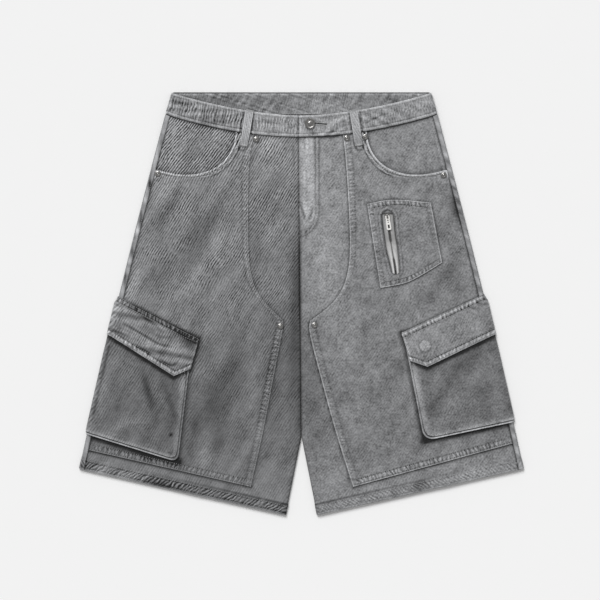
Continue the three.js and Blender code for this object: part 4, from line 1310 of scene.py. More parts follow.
@dataclass
class Overlays:
    """The double-knee overlays that cover most of each front."""

    lift: float = 1.5
    wall: float = 1.2
    stitches: Stitching = field(default_factory=lambda: Stitching("stitching_overlays", THREAD))
    scoops: Stitching = field(default_factory=lambda: Stitching("stitching_scoops", LIGHT_THREAD, 4.2, 2.9, 1.3))

    def panel(self, side: Side) -> None:
        """Builds one overlay."""
        lines, soft = Lines(side), side is Side.LEFT
        knee, outer, hem = lines.knee(), lines.outer_edge(KNEE_HEM[side]), lines.knee_hem()
        top = lines.waist(knee[0, 0], outer[0, 0])
        top[0], top[-1], hem[1] = knee[0], outer[0], outer[-1]
        grid = Patch(top, hem, knee, outer).grid(Spacing(FINE_EDGE, FINE_EDGE, 2.8),
                                                 Spacing((0, 0.4, 1, 2, 3.4), FINE_EDGE + (12.5,), 2.8))
        reach = Reach.of(grid)
        x, y = grid[..., 0], grid[..., 1]
        inner = SeamRelief(rows=(1.9, 7.5), wave=6.2, seed=31 + side.value)
        scoop = SeamRelief(rows=(4.2, 9.4), depth=0.3, pucker=0.2, wave=9, reach=5, seed=41 + side.value)
        bottom = SeamRelief(rows=(2.2, 9.3), depth=0.4, pucker=0.4, wave=9, reach=6.4, seed=51 + side.value)
        in_scoop = smooth((y - 186) / 8)
        relief = inner.height(reach.left, reach.top) + scoop.height(reach.right, reach.top) * in_scoop
        relief += bottom.height(reach.bottom, reach.left) + rounded(reach.nearest("left", "right", "bottom"), 0.95)
        relief += 0.2 * np.exp(-reach.top / 8) * ripple(x, 7, 9)
        from_scoop = distance_to(grid, grid[:, -1, :2])
        # Painted shade in the stitch grooves and lighter worn rims along the edges; painted shadow under the waistband
        # seam and along the outseam below the scoop; darker patches above the bottom seam; painted shadows round the
        # pockets.
        shade = inner.dark(reach.left, reach.top, 0.2, 0.0) + bottom.dark(reach.bottom, reach.left, 0.3, 0.0)
        shade += strokes(reach.left, (-0.6 if soft else -0.1, 1.0, 1.3), (0.16, 10.5, 2.5), (-0.2, 6, 3.4))
        shade += strokes(from_scoop, (0.66, 4.0, 1.0), (-1.2, 1.3, 1.6), (0.45, 9.4, 1.4), (-0.55, 6.6, 1.7)) * in_scoop
        shade += strokes(reach.bottom, (-0.36 if soft else -0.1, 0.9, 1.1), (-0.2 * soft, 5.8, 3.2))
        shade += strokes(reach.top, (0.5, 0, 1.8), (0.6, 0, 2.6)) + 0.62 * peak(reach.right, 0, 1.7) * (1 - in_scoop)
        patches = np.clip(ripple(reach.left, 62, 57) - 0.1, 0, 1) * (not soft)
        shade += 0.6 * patches * peak(reach.bottom, 9, 5) + self.pocket_shadow(side, grid)
        beside = 0.36 + 0.28 * (peak(reach.top, 85, 75, 4) if soft else peak(reach.top, 370, 72, 4))
        seam = seam_field((reach.top, reach.left * 0.72, beside), (reach.right, from_scoop - 2.1, 0.8 * in_scoop),
                          (reach.left, 1.9 + (reach.bottom - 2.2) * 0.79, 1.0 if soft else 0.7))
        edge = np.minimum(reach.nearest("left", "bottom"), reach.right + 30 * (1 - in_scoop))
        piece = ClothPiece(f"double_knee_{side.label}", SHORTS.over_front(grid, self.lift), grid, self.wall, relief,
                           edge, np.clip(shade, -1.2, 0.9), seam=seam)
        piece.dress(cloth_for(side, overlay=True), f"front_panel_{side.label}")
        cloth = piece.outer()
        for column in (4, 10):
            self.stitches.run(cloth[2:-4, column])
        for distance in bottom.rows:
            self.stitches.run(cloth[int(np.argmin(np.abs(reach.bottom[:, 20] - distance))), 4:-3])
        self.scoops.run(cloth[y[:, -1] > 190, -11])
        if side is Side.RIGHT:
            self.scoops.bar(SHORTS.over_front((-94.5, 248.5), 3.2), 1.2, 8)

    @staticmethod
    def pocket_shadow(side: Side, grid: Array) -> Array:
        """Darkening beside what is sewn on the overlay."""
        pocket = CARGO[side]
        foot = (side.value * float(SHORTS.half_width(pocket.body_outer[1])), pocket.body_outer[1])
        ring = np.array([pocket.flap_top, pocket.flap_inner, *pocket.body_inner, foot], dtype=float)
        near, under = distance_to(grid, ring), distance_to(grid, ring[3:])
        beside = 0.62 if side is Side.LEFT else 0.3
        dark = beside * peak(near, 0, 4.6, 3) + 0.16 * np.exp(-near / 11)
        dark += (0.98 - beside) * peak(under, 0, 7.0, 3) + 0.12 * np.exp(-under / 12)
        top = np.array([pocket.flap_top, (side.value * 276.0, pocket.flap_outer[0])])
        dark += 0.7 * peak(distance_to(grid, top), 0, 2.0)
        if side is Side.LEFT:
            dark += 0.62 * peak(distance_to(grid, np.array(ZIP_PATCH + ZIP_PATCH[:1])), 0, 2.1)
        return dark

    def build(self) -> None:
        """Builds both overlays and their stitches."""
        for side in Side:
            self.panel(side)
        self.stitches.build()
        self.scoops.build()


@dataclass
class Facings:
    """The pocket facings that show inside the scoops."""

    drop: float = 1.6
    wall: float = 1.0

    def build(self) -> None:
        """Builds both facings."""
        for side in Side:
            sign, lines = side.value, Lines(side)
            top = lines.waist(sign * 84.0, sign * 199.4)
            bottom = bezier([(sign * x, y) for x, y in ((84, 243), (92, 190), (150, 166), (217, 186))])
            right = SHORTS.side_line(sign, np.linspace(284.5, 190, 20))
            left = np.array([top[0], bottom[0]])
            top[-1], bottom[-1] = right[0], right[-1]
            spacing = Spacing(PLAIN_EDGE, PLAIN_EDGE, 2.8)
            grid = Patch(top, bottom, left, right).grid(spacing, spacing)
            reach = Reach.of(grid)
            x, y = grid[..., 0], grid[..., 1]
            scoop = distance_to(grid, lines.scoop())
            surface = SHORTS.over_front(grid, 1.1 * smooth((scoop - 3) / 14) - self.drop)
            relief = 0.18 * np.exp(-reach.top / 10) * ripple(x, 8, 61) + rounded(reach.nearest("bottom", "left"), 0.5)
            relief += 0.25 * peak((x - sign * 150) * 0.5 + y, 232, 9)
            # Painted shadow along the scoop's edge, under the waistband seam and along the outseam, with a light and a
            # dark line beside the outseam.
            shade = 0.5 * peak(scoop, 0, 3.2) + 0.16 * np.exp(-scoop / 12) + 0.66 * peak(reach.top, 0, 2.8)
            shade += strokes(reach.right, (0.55, 0, 1.8), (-0.22, 4.5, 1.2), (0.3, 7.5, 1.2))
            piece = ClothPiece(f"pocket_facing_{side.label}", surface, grid, self.wall, relief, reach.top + 40,
                               np.clip(shade, -0.4, 0.85))
            piece.dress(STREAKED_FACING if side is Side.RIGHT else SOFT, f"front_panel_{side.label}")


@dataclass
class Backs:
    """The back panels: flat on the floor, wrapped round the side folds to the outseams on top."""

    wall: float = 1.3
    rows: int = 190
    columns: int = 88
    wrap: int = 14
    seat_folds: tuple[Fold, ...] = folds(
        (60, 190, 60, 60, 6, 0.5), (110, 120, 70, 70, 7, 0.45), (40, 60, 96, 60, 6, 0.45), (150, -40, 80, 90, 8, 0.5),
        (90, -150, 84, 70, 7, 0.4), (210, -120, 76, 60, 7, 0.45), (170, 220, 50, 30, 5, 0.35),
        (60, -60, 100, 50, 6, 0.4),
    )
    stitches: Stitching = field(default_factory=lambda: Stitching("stitching_backs", THREAD))

    def panel(self, side: Side) -> None:
        """Builds one back panel."""
        sign = side.value
        height = SHORTS.seam_side - SHORTS.hem_outer
        q = Spacing(PLAIN_EDGE, FINE_EDGE, height / self.rows).places(np.array([height]))[0] / height
        outer_y = mix(SHORTS.seam_side, SHORTS.hem_outer, q)
        inner_y = mix(SHORTS.seam_back, SHORTS.hem_inner, q)
        outer = np.stack([sign * SHORTS.half_width(outer_y), outer_y], axis=-1)
        inner = np.stack([SHORTS.inner_edge(sign, inner_y), inner_y], axis=-1)
        size = np.linalg.norm(outer - inner, axis=1)
        across = (outer - inner) / size[:, None]
        radius, floor = SHORTS.fold_radius, SHORTS.rise(q)
        start = size - radius
        under = Spacing(FINE_EDGE, (0,), float(np.mean(size)) / self.columns).places(start)
        front = self.front_direction(sign, q, outer)
        columns = [(inner + across * at[:, None], floor, at) for at in under.T]
        for turn in np.linspace(0, math.pi, self.wrap + 1)[1:]:
            way = front if turn > 0.6 * math.pi else -across
            columns.append((outer + way * (radius - radius * math.sin(turn)), floor + radius - radius * math.cos(turn),
                            start + radius * turn))
        for inset in (SHORTS.outseam_inset - radius) * np.array([0.35, 0.7, 0.86, 0.94, 1.0]):
            columns.append((outer + front * (radius + inset), floor + 2 * radius, start + math.pi * radius + inset))
        surface = np.stack([np.column_stack([plan, z]) for plan, z, _ in columns], axis=1)
        run = np.stack([at for _, _, at in columns], axis=1)
        surface = self.turn_up(surface, run, smooth((SHORTS.crotch + 8 - inner_y) / 30))
        flat = inner[:, None] + across[:, None] * run[..., None]

        from_hem = (1 - q)[:, None] * height * np.ones(run.shape)
        to_seam = run[:, -1:] - run
        hem_height, shade = hem_band(from_hem, run, 71 + sign, side)
        on_floor = smooth((run - 0.5) / 2.5) * smooth((size[:, None] + 1.2 - run) / 2)
        creases = sum(fold.at(np.abs(flat[..., 0]) + sign * 6, flat[..., 1]) for fold in self.seat_folds)
        relief = (hem_height * 0.9 + rounded(from_hem, 0.8)) * (1 - on_floor) - creases * on_floor
        relief += rounded(to_seam, 0.6) * 0.8
        on_top = smooth((run - size[:, None] - 1) / 3)
        # Painted shadow along the outseam and the inseam; the strip that shows on top is lighter, unevenly along its
        # length.
        shade += 0.8 * peak(to_seam, 0, 1.0) + 0.3 * peak(run, 0, 2.4)
        shade -= on_top * (0.5 + 0.12 * sign + 0.34 * ripple(flat[..., 1], 15, 77 + sign))
        piece = ClothPiece(f"back_panel_{side.label}", surface, flat, self.wall, relief, np.minimum(from_hem, 40),
                           np.clip(shade, -0.9, 0.8), Facing.DOWN, (len(q) // 2, under.shape[1] // 2),
                           flat * (1 - 0.8 * on_top[..., None]), hem_seam(from_hem, run, side))
        piece.dress(BACK if side is Side.LEFT else STREAKED, "floor", held="folded")
        self.stitches.run(piece.outer()[4:-8, -4])
        if side is Side.LEFT:
            seat = inner_y > SHORTS.crotch
            line = np.column_stack([inner[seat] + np.array([2.4, 0]), SHORTS.rise(q[seat]) + 0.32])
            self.stitches.run(line, 0.0, DOWNWARDS)

    @staticmethod
    def front_direction(sign: int, q: Array, outer: Array) -> Array:
        """Directions from the side fold inwards over the front, along the front's rows."""
        inner_y = mix(SHORTS.seam_centre, SHORTS.hem_inner, q)
        inner = np.stack([SHORTS.inner_edge(sign, inner_y), inner_y], axis=-1)
        power = 1 + (SHORTS.seam_power - 1) * np.maximum(0, 1 - q / 0.3)
        share = 1 - 6 / np.linalg.norm(outer - inner, axis=1)
        way = mix(inner, outer, np.stack([share, share**power], axis=-1)) - outer
        return way / np.linalg.norm(way, axis=1, keepdims=True)

    @staticmethod
    def turn_up(surface: Array, run: Array, share: Array) -> Array:
        """Turns the strip beside the inseam up to meet the front."""
        radius = SHORTS.fold_radius
        arc = radius * 1.5
        turn = np.clip(1 - run / arc, 0, 1) * 0.96 * math.pi / 2
        near = (run < arc) * share[:, None]
        start, away = surface[:, :1, :2], surface[:, 40:41, :2] - surface[:, :1, :2]
        away = away / np.linalg.norm(away, axis=2, keepdims=True)
        moved = surface.copy()
        curled = start + away * (radius - radius * np.sin(turn))[..., None]
        moved[..., :2] = mix(surface[..., :2], curled, near[..., None])
        moved[..., 2] += (radius - radius * np.cos(turn)) * near
        return moved

    def build(self) -> None:
        """Builds both back panels and the seat seam's stitches."""
        for side in Side:
            self.panel(side)
        self.stitches.build()


BAND_DEPTH = 33


@dataclass
class Waistband:
    """One folded strip round the waist, with its lapped ends and the buttonhole."""

    wall: float = 2.4
    lap_end: float = 48
    lap_to: float = -3.4
    step: float = 2.4
    hole_start: float = 12.8
    hole_end: float = 38
    hole_y: float = 269.5
    hole_turn: float = -0.09
    stitch_rows: tuple[int, int] = (3, -4)
    shares: tuple[float, ...] = (0, 0.012, 0.03, 0.055, 0.08, 0.11, 0.16, 0.22, 0.3, 0.4, 0.5, 0.6, 0.7, 0.78, 0.84,
                                 0.89, 0.92, 0.945, 0.97, 0.988, 1.0)
    stitches: Stitching = field(default_factory=lambda: Stitching("stitching_waistband", LIGHT_THREAD))

    def stations(self) -> list[tuple[str, float]]:
        """Places round the waist, as a stretch's name and an x or a turn."""
        half = SHORTS.waist_half - SHORTS.band_radius
        front = int((half + self.lap_end) / self.step)
        turns = np.linspace(0, math.pi, 15)
        stretches = (("under", np.linspace(self.lap_end, -half, front)), ("fold_right", turns[1:-1]),
                     ("back", np.linspace(-half, half, int(2 * half / self.step))), ("fold_left", turns[::-1][1:-1]),
                     ("over", np.linspace(half, self.lap_to, front)))
        return [(name, value) for name, values in stretches for value in values]

    def column(self, stretch: str, value: float) -> Array:
        """Places from the seam to the top edge at one station.

        Args:
            stretch: The stretch's name.
            value: The station's x, or its turn round a side fold.

        Returns:
            The places, in the order of the shares.
        """
        w, radius, lift = np.array(self.shares), SHORTS.band_radius, SHORTS.band_lift
        if stretch.startswith("fold"):
            sign = -1 if stretch.endswith("right") else 1
            seam_half = float(SHORTS.half_width(SHORTS.seam_side))
            x = sign * (mix(seam_half, SHORTS.waist_half, w) - radius + radius * math.sin(value))
            y, z = mix(SHORTS.seam_side + 0.3, SHORTS.waist_top - 0.5, w), lift + radius + radius * math.cos(value)
        elif stretch == "back":
            x, y, z = value * mix(1.02, 1, w), mix(SHORTS.seam_back + 0.3, SHORTS.waist_top, w), lift
        else:
            seam_x = value * (1 + 0.02 * smooth(abs(value) / 190))
            raised = 2.7 * float(smooth((66 - value) / 15)) if stretch == "over" else 0.0
            y = mix(float(SHORTS.seam_y(seam_x)) + 0.3, float(SHORTS.band_top_y(value)), w)
            x, z = mix(seam_x, value, w), lift + 2 * radius + raised
        return np.column_stack([x, y, np.full(len(w), z)])

    def build(self) -> None:
        """Builds the band, cuts its buttonhole and sews it."""
        stations = self.stations()
        names = np.array([stretch for stretch, _ in stations])
        surface = np.stack([self.column(*station) for station in stations], axis=1)
        middle = surface[10]
        run, heights = lengths(middle), np.array(self.shares) * BAND_DEPTH
        flat = np.stack(np.meshgrid(run, heights), axis=-1)
        reach = Reach.of(flat)
        relief, shade = self.relief(reach, run[None], names, middle[:, 0])
        piece = ClothPiece("waistband", surface, flat, self.wall, relief, reach.nearest(), shade, Facing.UP, (10, 12),
                           seam=self.ripples(run, heights, names, middle[:, 0]))
        band = piece.dress(BAND, "back_panel_left", "back_panel_right", held="folded")
        self.pucker_inside(band, names, heights)
        self.cut_hole(band)
        outer = piece.outer()
        under, over, back = (np.flatnonzero(names == name) for name in ("under", "over", "back"))
        under = [k for k in under[10:] if middle[k, 0] < self.lap_to - 2]
        for columns, up in ((under, (0.0, 0.0, 1.0)), (over[:-3], (0.0, 0.0, 1.0)), (back, DOWNWARDS)):
            for row in self.stitch_rows:
                self.stitches.run(outer[row][columns], up=up)
        self.stitches.run(outer[2:-2, -4])
        self.hole_stitches()
        self.stitches.build()

    def relief(self, reach: Reach, run: Array, names: Array, x: Array) -> tuple[Array, Array]:
        """Relief and shade of the band.

        Args:
            reach: Distances from the band's edges.
            run: Place round the waist of each column, as one row.
            names: The stretch of each column.
            x: The x of each column.

        Returns:
            The relief and the shade.
        """
        edges = SeamRelief(rows=(1.8, 1.8), depth=0.34, groove=0.8, pucker=0.0)
        across = reach.top
        right_side, left_end = smooth((-x - 2) / 12)[None], smooth((-x - 60) / 40)[None]
        upright, slanted = run + across * 0.12, run * 0.9 - across * 1.3
        swell = peak(across, 16.5, 13)
        waves = right_side * ripple(upright, 5.2, 81) * 0.34 + (1 - right_side) * ripple(slanted, 19, 83) * 0.42
        relief = edges.height(reach.top, run) + edges.height(reach.bottom, run) + rounded(reach.nearest(), 1.1)
        relief += swell * (waves + 0.2 * ripple(run - across, 30, 85))
        relief = np.where((names == "back")[None], np.minimum(relief, 0.1), relief)
        # Painted shadow along the seam below the band, with a lighter rim and a darker stitch line above it; a light
        # rim and a dark stitch line along the top edge; painted light and shade on the ripples; darker towards the left
        # end; a painted shadow beside the lapped end.
        shade = strokes(reach.top, (0.9, 0, 1.6), (-0.75, 3.3, 1.1), (0.5, 5.4, 0.9))
        shade += strokes(reach.bottom, (0.4, 3.4, 0.8), (-0.6, 1.2, 1.3))
        fine = (0.16 + 0.3 * left_end) * right_side * ripple(upright, 11, 81)
        fine += 0.5 * left_end * ripple(run * 0.35 + across * 1.5, 14, 89)
        broad = 0.5 * ripple(slanted, 19, 83) + 0.4 * ripple(run * 0.6 - across * 0.9, 8, 88)
        shade -= swell * (fine + broad * (1 - right_side))
        shade += 0.2 * left_end - 0.04 + 0.8 * (peak(x, -4.4, 1.3) * (names == "under"))[None]
        return relief, np.clip(shade, -0.9, 0.85)

    @staticmethod
    def ripples(run: Array, heights: Array, names: Array, x: Array) -> Array:
        """The fine upright ripples of the band's front, stronger towards its right end, for the finish's bumps and
        painted light and shade.
        """
        strength = 0.34 + smooth((-x - 2) / 12) * (0.5 + 0.36 * smooth((-x - 60) / 40))
        swell = peak(heights, 17, 12.5, 4)[:, None] * (strength * (names != "back"))
        return seam_field((run * 1.4 + heights[:, None] * 0.2, np.full(swell.shape, SEAM_MIDDLE), swell))

    @staticmethod
    def pucker_inside(band: bpy.types.Object, names: Array, heights: Array) -> None:
        """Puckers the inner face of the band's back, which shows above the front, and paints its shade: a painted shade
        inside the waist, painted light and shade on the puckers and a dark line along the top edge.
        """
        row, column = np.meshgrid(np.arange(len(heights)), np.flatnonzero(names == "back"), indexing="ij")
        inside = (row + len(heights)) * len(names) + column
        places = np.zeros(3 * len(band.data.vertices))
        shade = np.zeros(len(band.data.vertices))
        band.data.vertices.foreach_get("co", places)
        band.data.attributes["shade"].data.foreach_get("value", shade)
        x, height = places[3 * inside] / MM, heights[row]
        from_top = BAND_DEPTH - height
        slant, small = ripple(x - height * 0.75, 13, 91), ripple(x - height * 0.5, 5.5, 93)
        window = smooth(height / 3) * smooth(from_top / 3)
        places[3 * inside + 2] += (0.55 * slant + 0.22 * small) * window * MM
        # Painted light and shade on the puckers, over a painted shade inside the waist.
        dark = 0.36 * slant + 0.26 * small + 0.42 * ripple(x * 0.6 + height * 1.9, 11, 95) + 0.04
        rim = strokes(from_top, (0.75, 0, 1.4), (-0.5, 3.2, 1.3)) - 0.3 * peak(x, 28, 46) * smooth((from_top - 9) / 6)
        shade[inside] = 0.14 + 0.16 * smooth((-x - 60) / 60) + rim - dark * window
        band.data.vertices.foreach_set("co", places)
        band.data.attributes["shade"].data.foreach_set("value", shade)

    def cut_hole(self, band: bpy.types.Object) -> None:
        """Cuts the keyhole through the lapping end."""
        bpy.ops.object.select_all(action="DESELECT")
        z = (SHORTS.band_lift + 2 * SHORTS.band_radius + 1.5) * MM
        middle = 0.5 * (self.hole_start + self.hole_end)
        bpy.ops.mesh.primitive_cube_add(size=1, location=(middle * MM, self.hole_y * MM, z))
        cutter = bpy.context.object
        cutter.scale = ((self.hole_end - self.hole_start) * MM, 1.5 * MM, 3.6 * MM)
        cutter.rotation_euler = (0, 0, self.hole_turn)
        bpy.ops.object.transform_apply(location=True, rotation=True, scale=True)
        cut_through(band, cutter)

    def hole_stitches(self) -> None:
        """Works the close stitches round the buttonhole."""
        rim = Stitching("buttonhole_stitches", LIGHT_THREAD, pitch=1.75, length=1.9, width=0.7)
        way = np.array([math.cos(self.hole_turn), math.sin(self.hole_turn), 0])
        cross = np.array([-way[1], way[0], 0])
        z = SHORTS.band_lift + 2 * SHORTS.band_radius + 2.75
        start = np.array([self.hole_start, self.hole_y + 1.1, z])
        size, step = self.hole_end - self.hole_start, 0.8
        for k in range(int(size / step)):
            for beside in (-1, 1):
                foot = start + way * k * step + cross * beside * 0.85
                rim.run(np.array([foot, foot + cross * beside * 1.8]))
        end = start + way * size
        for turn in np.linspace(-math.pi / 2, math.pi / 2, 8):
            out = way * math.cos(turn) + cross * math.sin(turn)
            rim.run(np.array([end + out * 0.7, end + out * 2.5]))
        rim.build()


@dataclass
class BeltLoops:
    """Folded straps across the band: two in front, three behind."""

    width: float = 12
    wall: float = 1.2
    front: tuple = ((Side.RIGHT, (-77.1, 289.5), (-86.8, 234.8)), (Side.LEFT, (77.8, 290.0), (86.4, 235.5)))
    back: tuple = (("right", -118.0), ("centre", 0.0), ("left", 118.0))
    back_length: float = 48
    stitches: Stitching = field(default_factory=lambda: Stitching("stitching_loops", LIGHT_THREAD))

    def strap(self, name: str, start: Array, end: Array, profile: Callable[[Array], Array], facing: Facing) -> None:
        """Builds one loop.

        Args:
            name: The loop's name, which is its node's too.
            start: Its top end in plan.
            end: Its bottom end in plan.
            profile: Height of its outer face by the share of its length.
            facing: The side of the garment that it is on.
        """
        shown = facing is Facing.UP
        size = float(np.linalg.norm(end - start))
        way = (end - start) / size
        beside = np.array([-way[1], way[0]])
        down = Spacing(PLAIN_EDGE, PLAIN_EDGE, 1.2).places(np.array([size]))[0]
        rim = (0, 0.3, 0.8, 1.5, 2.2, 3.0)
        across = Spacing(rim, rim, 1.0).places(np.array([self.width]))[0]
        s, a = np.meshgrid(across, down)
        if shown:
            a = a - 3.2 * (2 * s / self.width - 1) ** 2 * smooth((a - size + 14) / 14)
        plan = start + way * a[..., None] + beside * (s - self.width / 2)[..., None]
        flat = np.dstack([s, a])
        reach = Reach.of(flat)
        sides = reach.nearest("left", "right")
        relief = rounded(reach.nearest(), 0.7) - 0.22 * peak(sides, 2.2, 0.6)
        relief += 0.12 * ripple(a + s * 0.4, 6, 97) * shown
        # Darker stitch lines, and painted shade at the bottom end and down the lower half where the loop bends to the
        # band.
        shade = 0.25 * peak(sides, 2.2, 0.7) + 0.3 * peak(reach.bottom, 0, 1.5)
        shade += 0.3 * smooth((a - 0.5 * size) / 20) * smooth((size - 2 - a) / 3)
        piece = ClothPiece(name, np.dstack([plan, profile(a / size)]), flat, self.wall, relief, sides, shade, facing)
        piece.dress(LOOP, "waistband")
        outer = piece.outer()
        for column in (4, -5):
            self.stitches.run(outer[3:-3, column], 0.05 if shown else -0.4, (0.0, 0.0, float(facing.value)))
        for share in (0.035, 0.955) if shown else ():
            middle = outer[int(share * (len(down) - 1)), len(across) // 2]
            self.stitches.bar(middle, math.atan2(beside[1], beside[0]), self.width - 1.6, 1.9)

    def build(self) -> None:
        """Builds all loops."""
        base = SHORTS.band_lift + 2 * SHORTS.band_radius + SHORTS.gap + self.wall
        shares, rises = (0, 0.08, 0.3, 0.55, 0.8, 0.93, 1), (0, 0.2, 1.2, 1.4, 0.9, 0.25, 0)
        for side, start, end in self.front:
            self.strap(f"belt_loop_front_{side.label}", np.array(start), np.array(end),
                       lambda t: base + np.interp(t, shares, rises), Facing.UP)
        for label, x in self.back:
            start = np.array([x, SHORTS.waist_top])
            self.strap(f"belt_loop_back_{label}", start, start - [0, self.back_length], np.zeros_like, Facing.DOWN)
        self.stitches.build()


@dataclass(frozen=True)
class CargoCut:
    """Places of one side's cargo pocket in plan, inner corners first, then heights at the side fold."""

    flap_top: tuple[float, float]
    flap_inner: tuple[float, float]
    flap_point: tuple[float, float]
    flap_outer: tuple[float, float]
    body_inner: tuple
    body_outer: tuple[float, float]
    corner: float


CARGO = {
    Side.RIGHT: CargoCut((-152.0, -52.0), (-166.0, -98.0), (-191.0, -109.0), (11.0, -47.0),
                         ((-164.0, -66.0), (-185.0, -238.0)), (-6.0, -196.0), 14.0),
    Side.LEFT: CargoCut((149.5, -44.0), (163.0, -86.0), (189.0, -95.0), (14.5, -47.0),
                        ((156.0, -62.0), (184.0, -206.0)), (-4.0, -178.0), 18.0),
}
ZIP_PATCH = [(98.4, 149.0), (135.0, 157.0), (194.0, 151.0), (211.0, 61.0), (177.0, 40.0), (156.0, 29.5), (118.5, 23.0)]


@dataclass
class CargoPocket:
    """One side's cargo pocket: a folded gusset, the face and the flap."""

    side: Side
    wrap: float = 2.1
    gusset_width: float = 17
    show: float = 3.2
    face_folds: tuple[Fold, ...] = folds(
        (236, -120, 64, 44, 7, 0.5), (262, -140, 112, 40, 8, 0.45), (208, -180, 60, 30, 6, -0.4),
        (290, -100, 80, 26, 6, 0.4), (228, -96, 30, 30, 6, -0.4),
    )

    def __post_init__(self) -> None:
        """Looks up this side's measures and names its stitches."""
        self.cut, self.soft = CARGO[self.side], self.side is Side.LEFT
        self.stitches = Stitching(f"stitching_cargo_{self.side.label}", THREAD)

    def side_point(self, y: float) -> Array:
        """Where a height meets the end of the cloth that is wrapped round the side fold."""
        return SHORTS.outseam(self.side.value, np.array([y]), -self.wrap)[0]

    def body_patch(self, inset: float) -> Patch:
        """The pocket's unrolled outline, set in at its inner and bottom edges."""
        upper, lower = (np.array(p) for p in self.cut.body_inner)
        head, foot = (self.side_point(y) for y in self.cut.body_outer)
        up = (upper - lower) / np.linalg.norm(upper - lower)
        out = (foot - lower) / np.linalg.norm(foot - lower)
        corner = lower + (up + out) * inset
        a, b = corner + up * self.cut.corner, corner + out * self.cut.corner
        t = np.linspace(0, 1, 14)[:, None]
        bend = (1 - t) ** 2 * a + 2 * t * (1 - t) * corner + t**2 * b
        half = len(bend) // 2
        left = np.vstack([upper + out * inset, bend[: half + 1]])
        bottom = np.vstack([bend[half:], foot + up * inset])
        return Patch(np.array([left[0], head]), bottom, left, np.array([head, foot + up * inset]))

    def face(self) -> None:
        """Builds the pocket's face."""
        grid = self.body_patch(self.show).grid(Spacing(FINE_EDGE, PLAIN_EDGE, 2.3), Spacing(PLAIN_EDGE, FINE_EDGE, 2.3))
        reach = Reach.of(grid)
        across = reach.left / np.maximum(reach.left[:, -1:], 1)
        down = reach.top / np.maximum(reach.top[-1:], 1)
        puff = 1.2 * smooth((down - 0.35) / 0.25) * np.sin(math.pi * np.clip(down, 0, 1))
        puff = puff * np.sin(math.pi * across) ** 2
        surface = SHORTS.drape(self.side.value, grid, mix(3.0, 5.7, SHORTS.side_share(grid)) + puff)
        seam = SeamRelief(rows=(1.9, 1.9), pucker=0.14, wave=9, seed=101)
        rim = reach.nearest("left", "bottom")
        relief = seam.height(reach.left, reach.top) + seam.height(reach.bottom, reach.left) + rounded(rim, 1.0)
        x, y = grid[..., 0] * self.side.value, grid[..., 1]
        relief += sum(fold.at(x, y) for fold in self.face_folds)
        relief += 0.35 * np.exp(-reach.bottom / 9) * ripple(reach.left, 16, 103)
        # Darker away from the rims; a painted shadow line and a light rim along the bottom and inner edges; shade in
        # the stitch grooves; a darker band above the bottom in places.
        shade = (0.2 if self.soft else 0.16) * smooth((rim - 2) / 12)
        shade += strokes(reach.bottom, (0.75, 0, 1.0), (-0.8, 2.6, 1.3))
        shade += strokes(reach.left, (0.1 if self.soft else 0.3, 0, 0.9), (-0.24, 3.2, 3.4))
        shade += 0.2 * peak(reach.bottom, 13, 2.4) * np.clip(ripple(reach.left, 70, 107), -0.2, 1)
        shade += seam.dark(reach.left, reach.top, 0.0, 0.1) + seam.dark(reach.bottom, reach.left, 0.1, 0.2)
        # Painted shadow under the flap; on the right pocket a dark line inside the side fold.
        foot = self.side_point(self.cut.flap_outer[1])
        flap = distance_to(grid, np.array([self.cut.flap_inner, self.cut.flap_point, foot]))
        shade += (0.85 if self.soft else 0.92) * peak(flap, 0, 5.0, 3) + 0.24 * np.exp(-flap / 13)
        if not self.soft:
            from_fold = SHORTS.half_width(y) - x
            shade += 0.62 * peak(from_fold, 4.4, 1.5) * smooth((-58 - y) / 8) * smooth((y + 172) / 8)
        outer = self.dress("face", "cargo_gusset", surface, grid, 1.2, relief, rim, np.clip(shade, -0.9, 0.93))
        self.stitches.run(outer[12:-4, 6])
        self.stitches.run(outer[-7, 4:-6])

    def gusset(self) -> None:
        """Builds the folded strip that shows beside and below the face."""
        patch = self.body_patch(0)
        path = along(np.vstack([patch.left, patch.bottom[1:]]), np.linspace(0, 1, 150))
        way = np.gradient(path, axis=0)
        way /= np.linalg.norm(way, axis=1, keepdims=True)
        inward = np.stack([-way[:, 1], way[:, 0]], axis=-1)
        if inward[20] @ (np.array([self.side.value * 240.0, -120.0]) - path[20]) < 0:
            inward = -inward
        across = np.array([0, 0.3, 0.8, 1.5, 2.2, 3.2, 5.0, 8.0, 11.5, 14.5, self.gusset_width])
        grid = path[:, None] + inward[:, None] * across[None, :, None]
        flat = np.stack(np.meshgrid(across, lengths(path)), axis=-1)
        reach = Reach.of(flat)
        relief = rounded(reach.left, 1.0) - 0.3 * peak(reach.left, 1.8, 0.6)
        relief += 0.18 * ripple(reach.top, 12, 107) * np.exp(-reach.left / 6)
        foot = float(np.linalg.norm(np.subtract(*self.cut.body_inner)))
        # A painted shadow line between the face and the gusset and a painted light line along the gusset's fold, both
        # stronger under the pocket.
        under = smooth((reach.top - foot + 4) / 22)
        shade = mix(0.9 if self.soft else 0.5, 0.9, under) * peak(reach.left, 3.6, 1.2)
        shade -= mix(0.05, 0.95, under) * peak(reach.left, 1.3, 1.2)
        surface = SHORTS.drape(self.side.value, grid, mix(1.5, 4.2, SHORTS.side_share(grid)))
        self.dress("gusset", "double_knee", surface, flat, 2.3, relief, reach.left, np.clip(shade, -0.9, 0.9),
                   overlay=False, weave=grid)

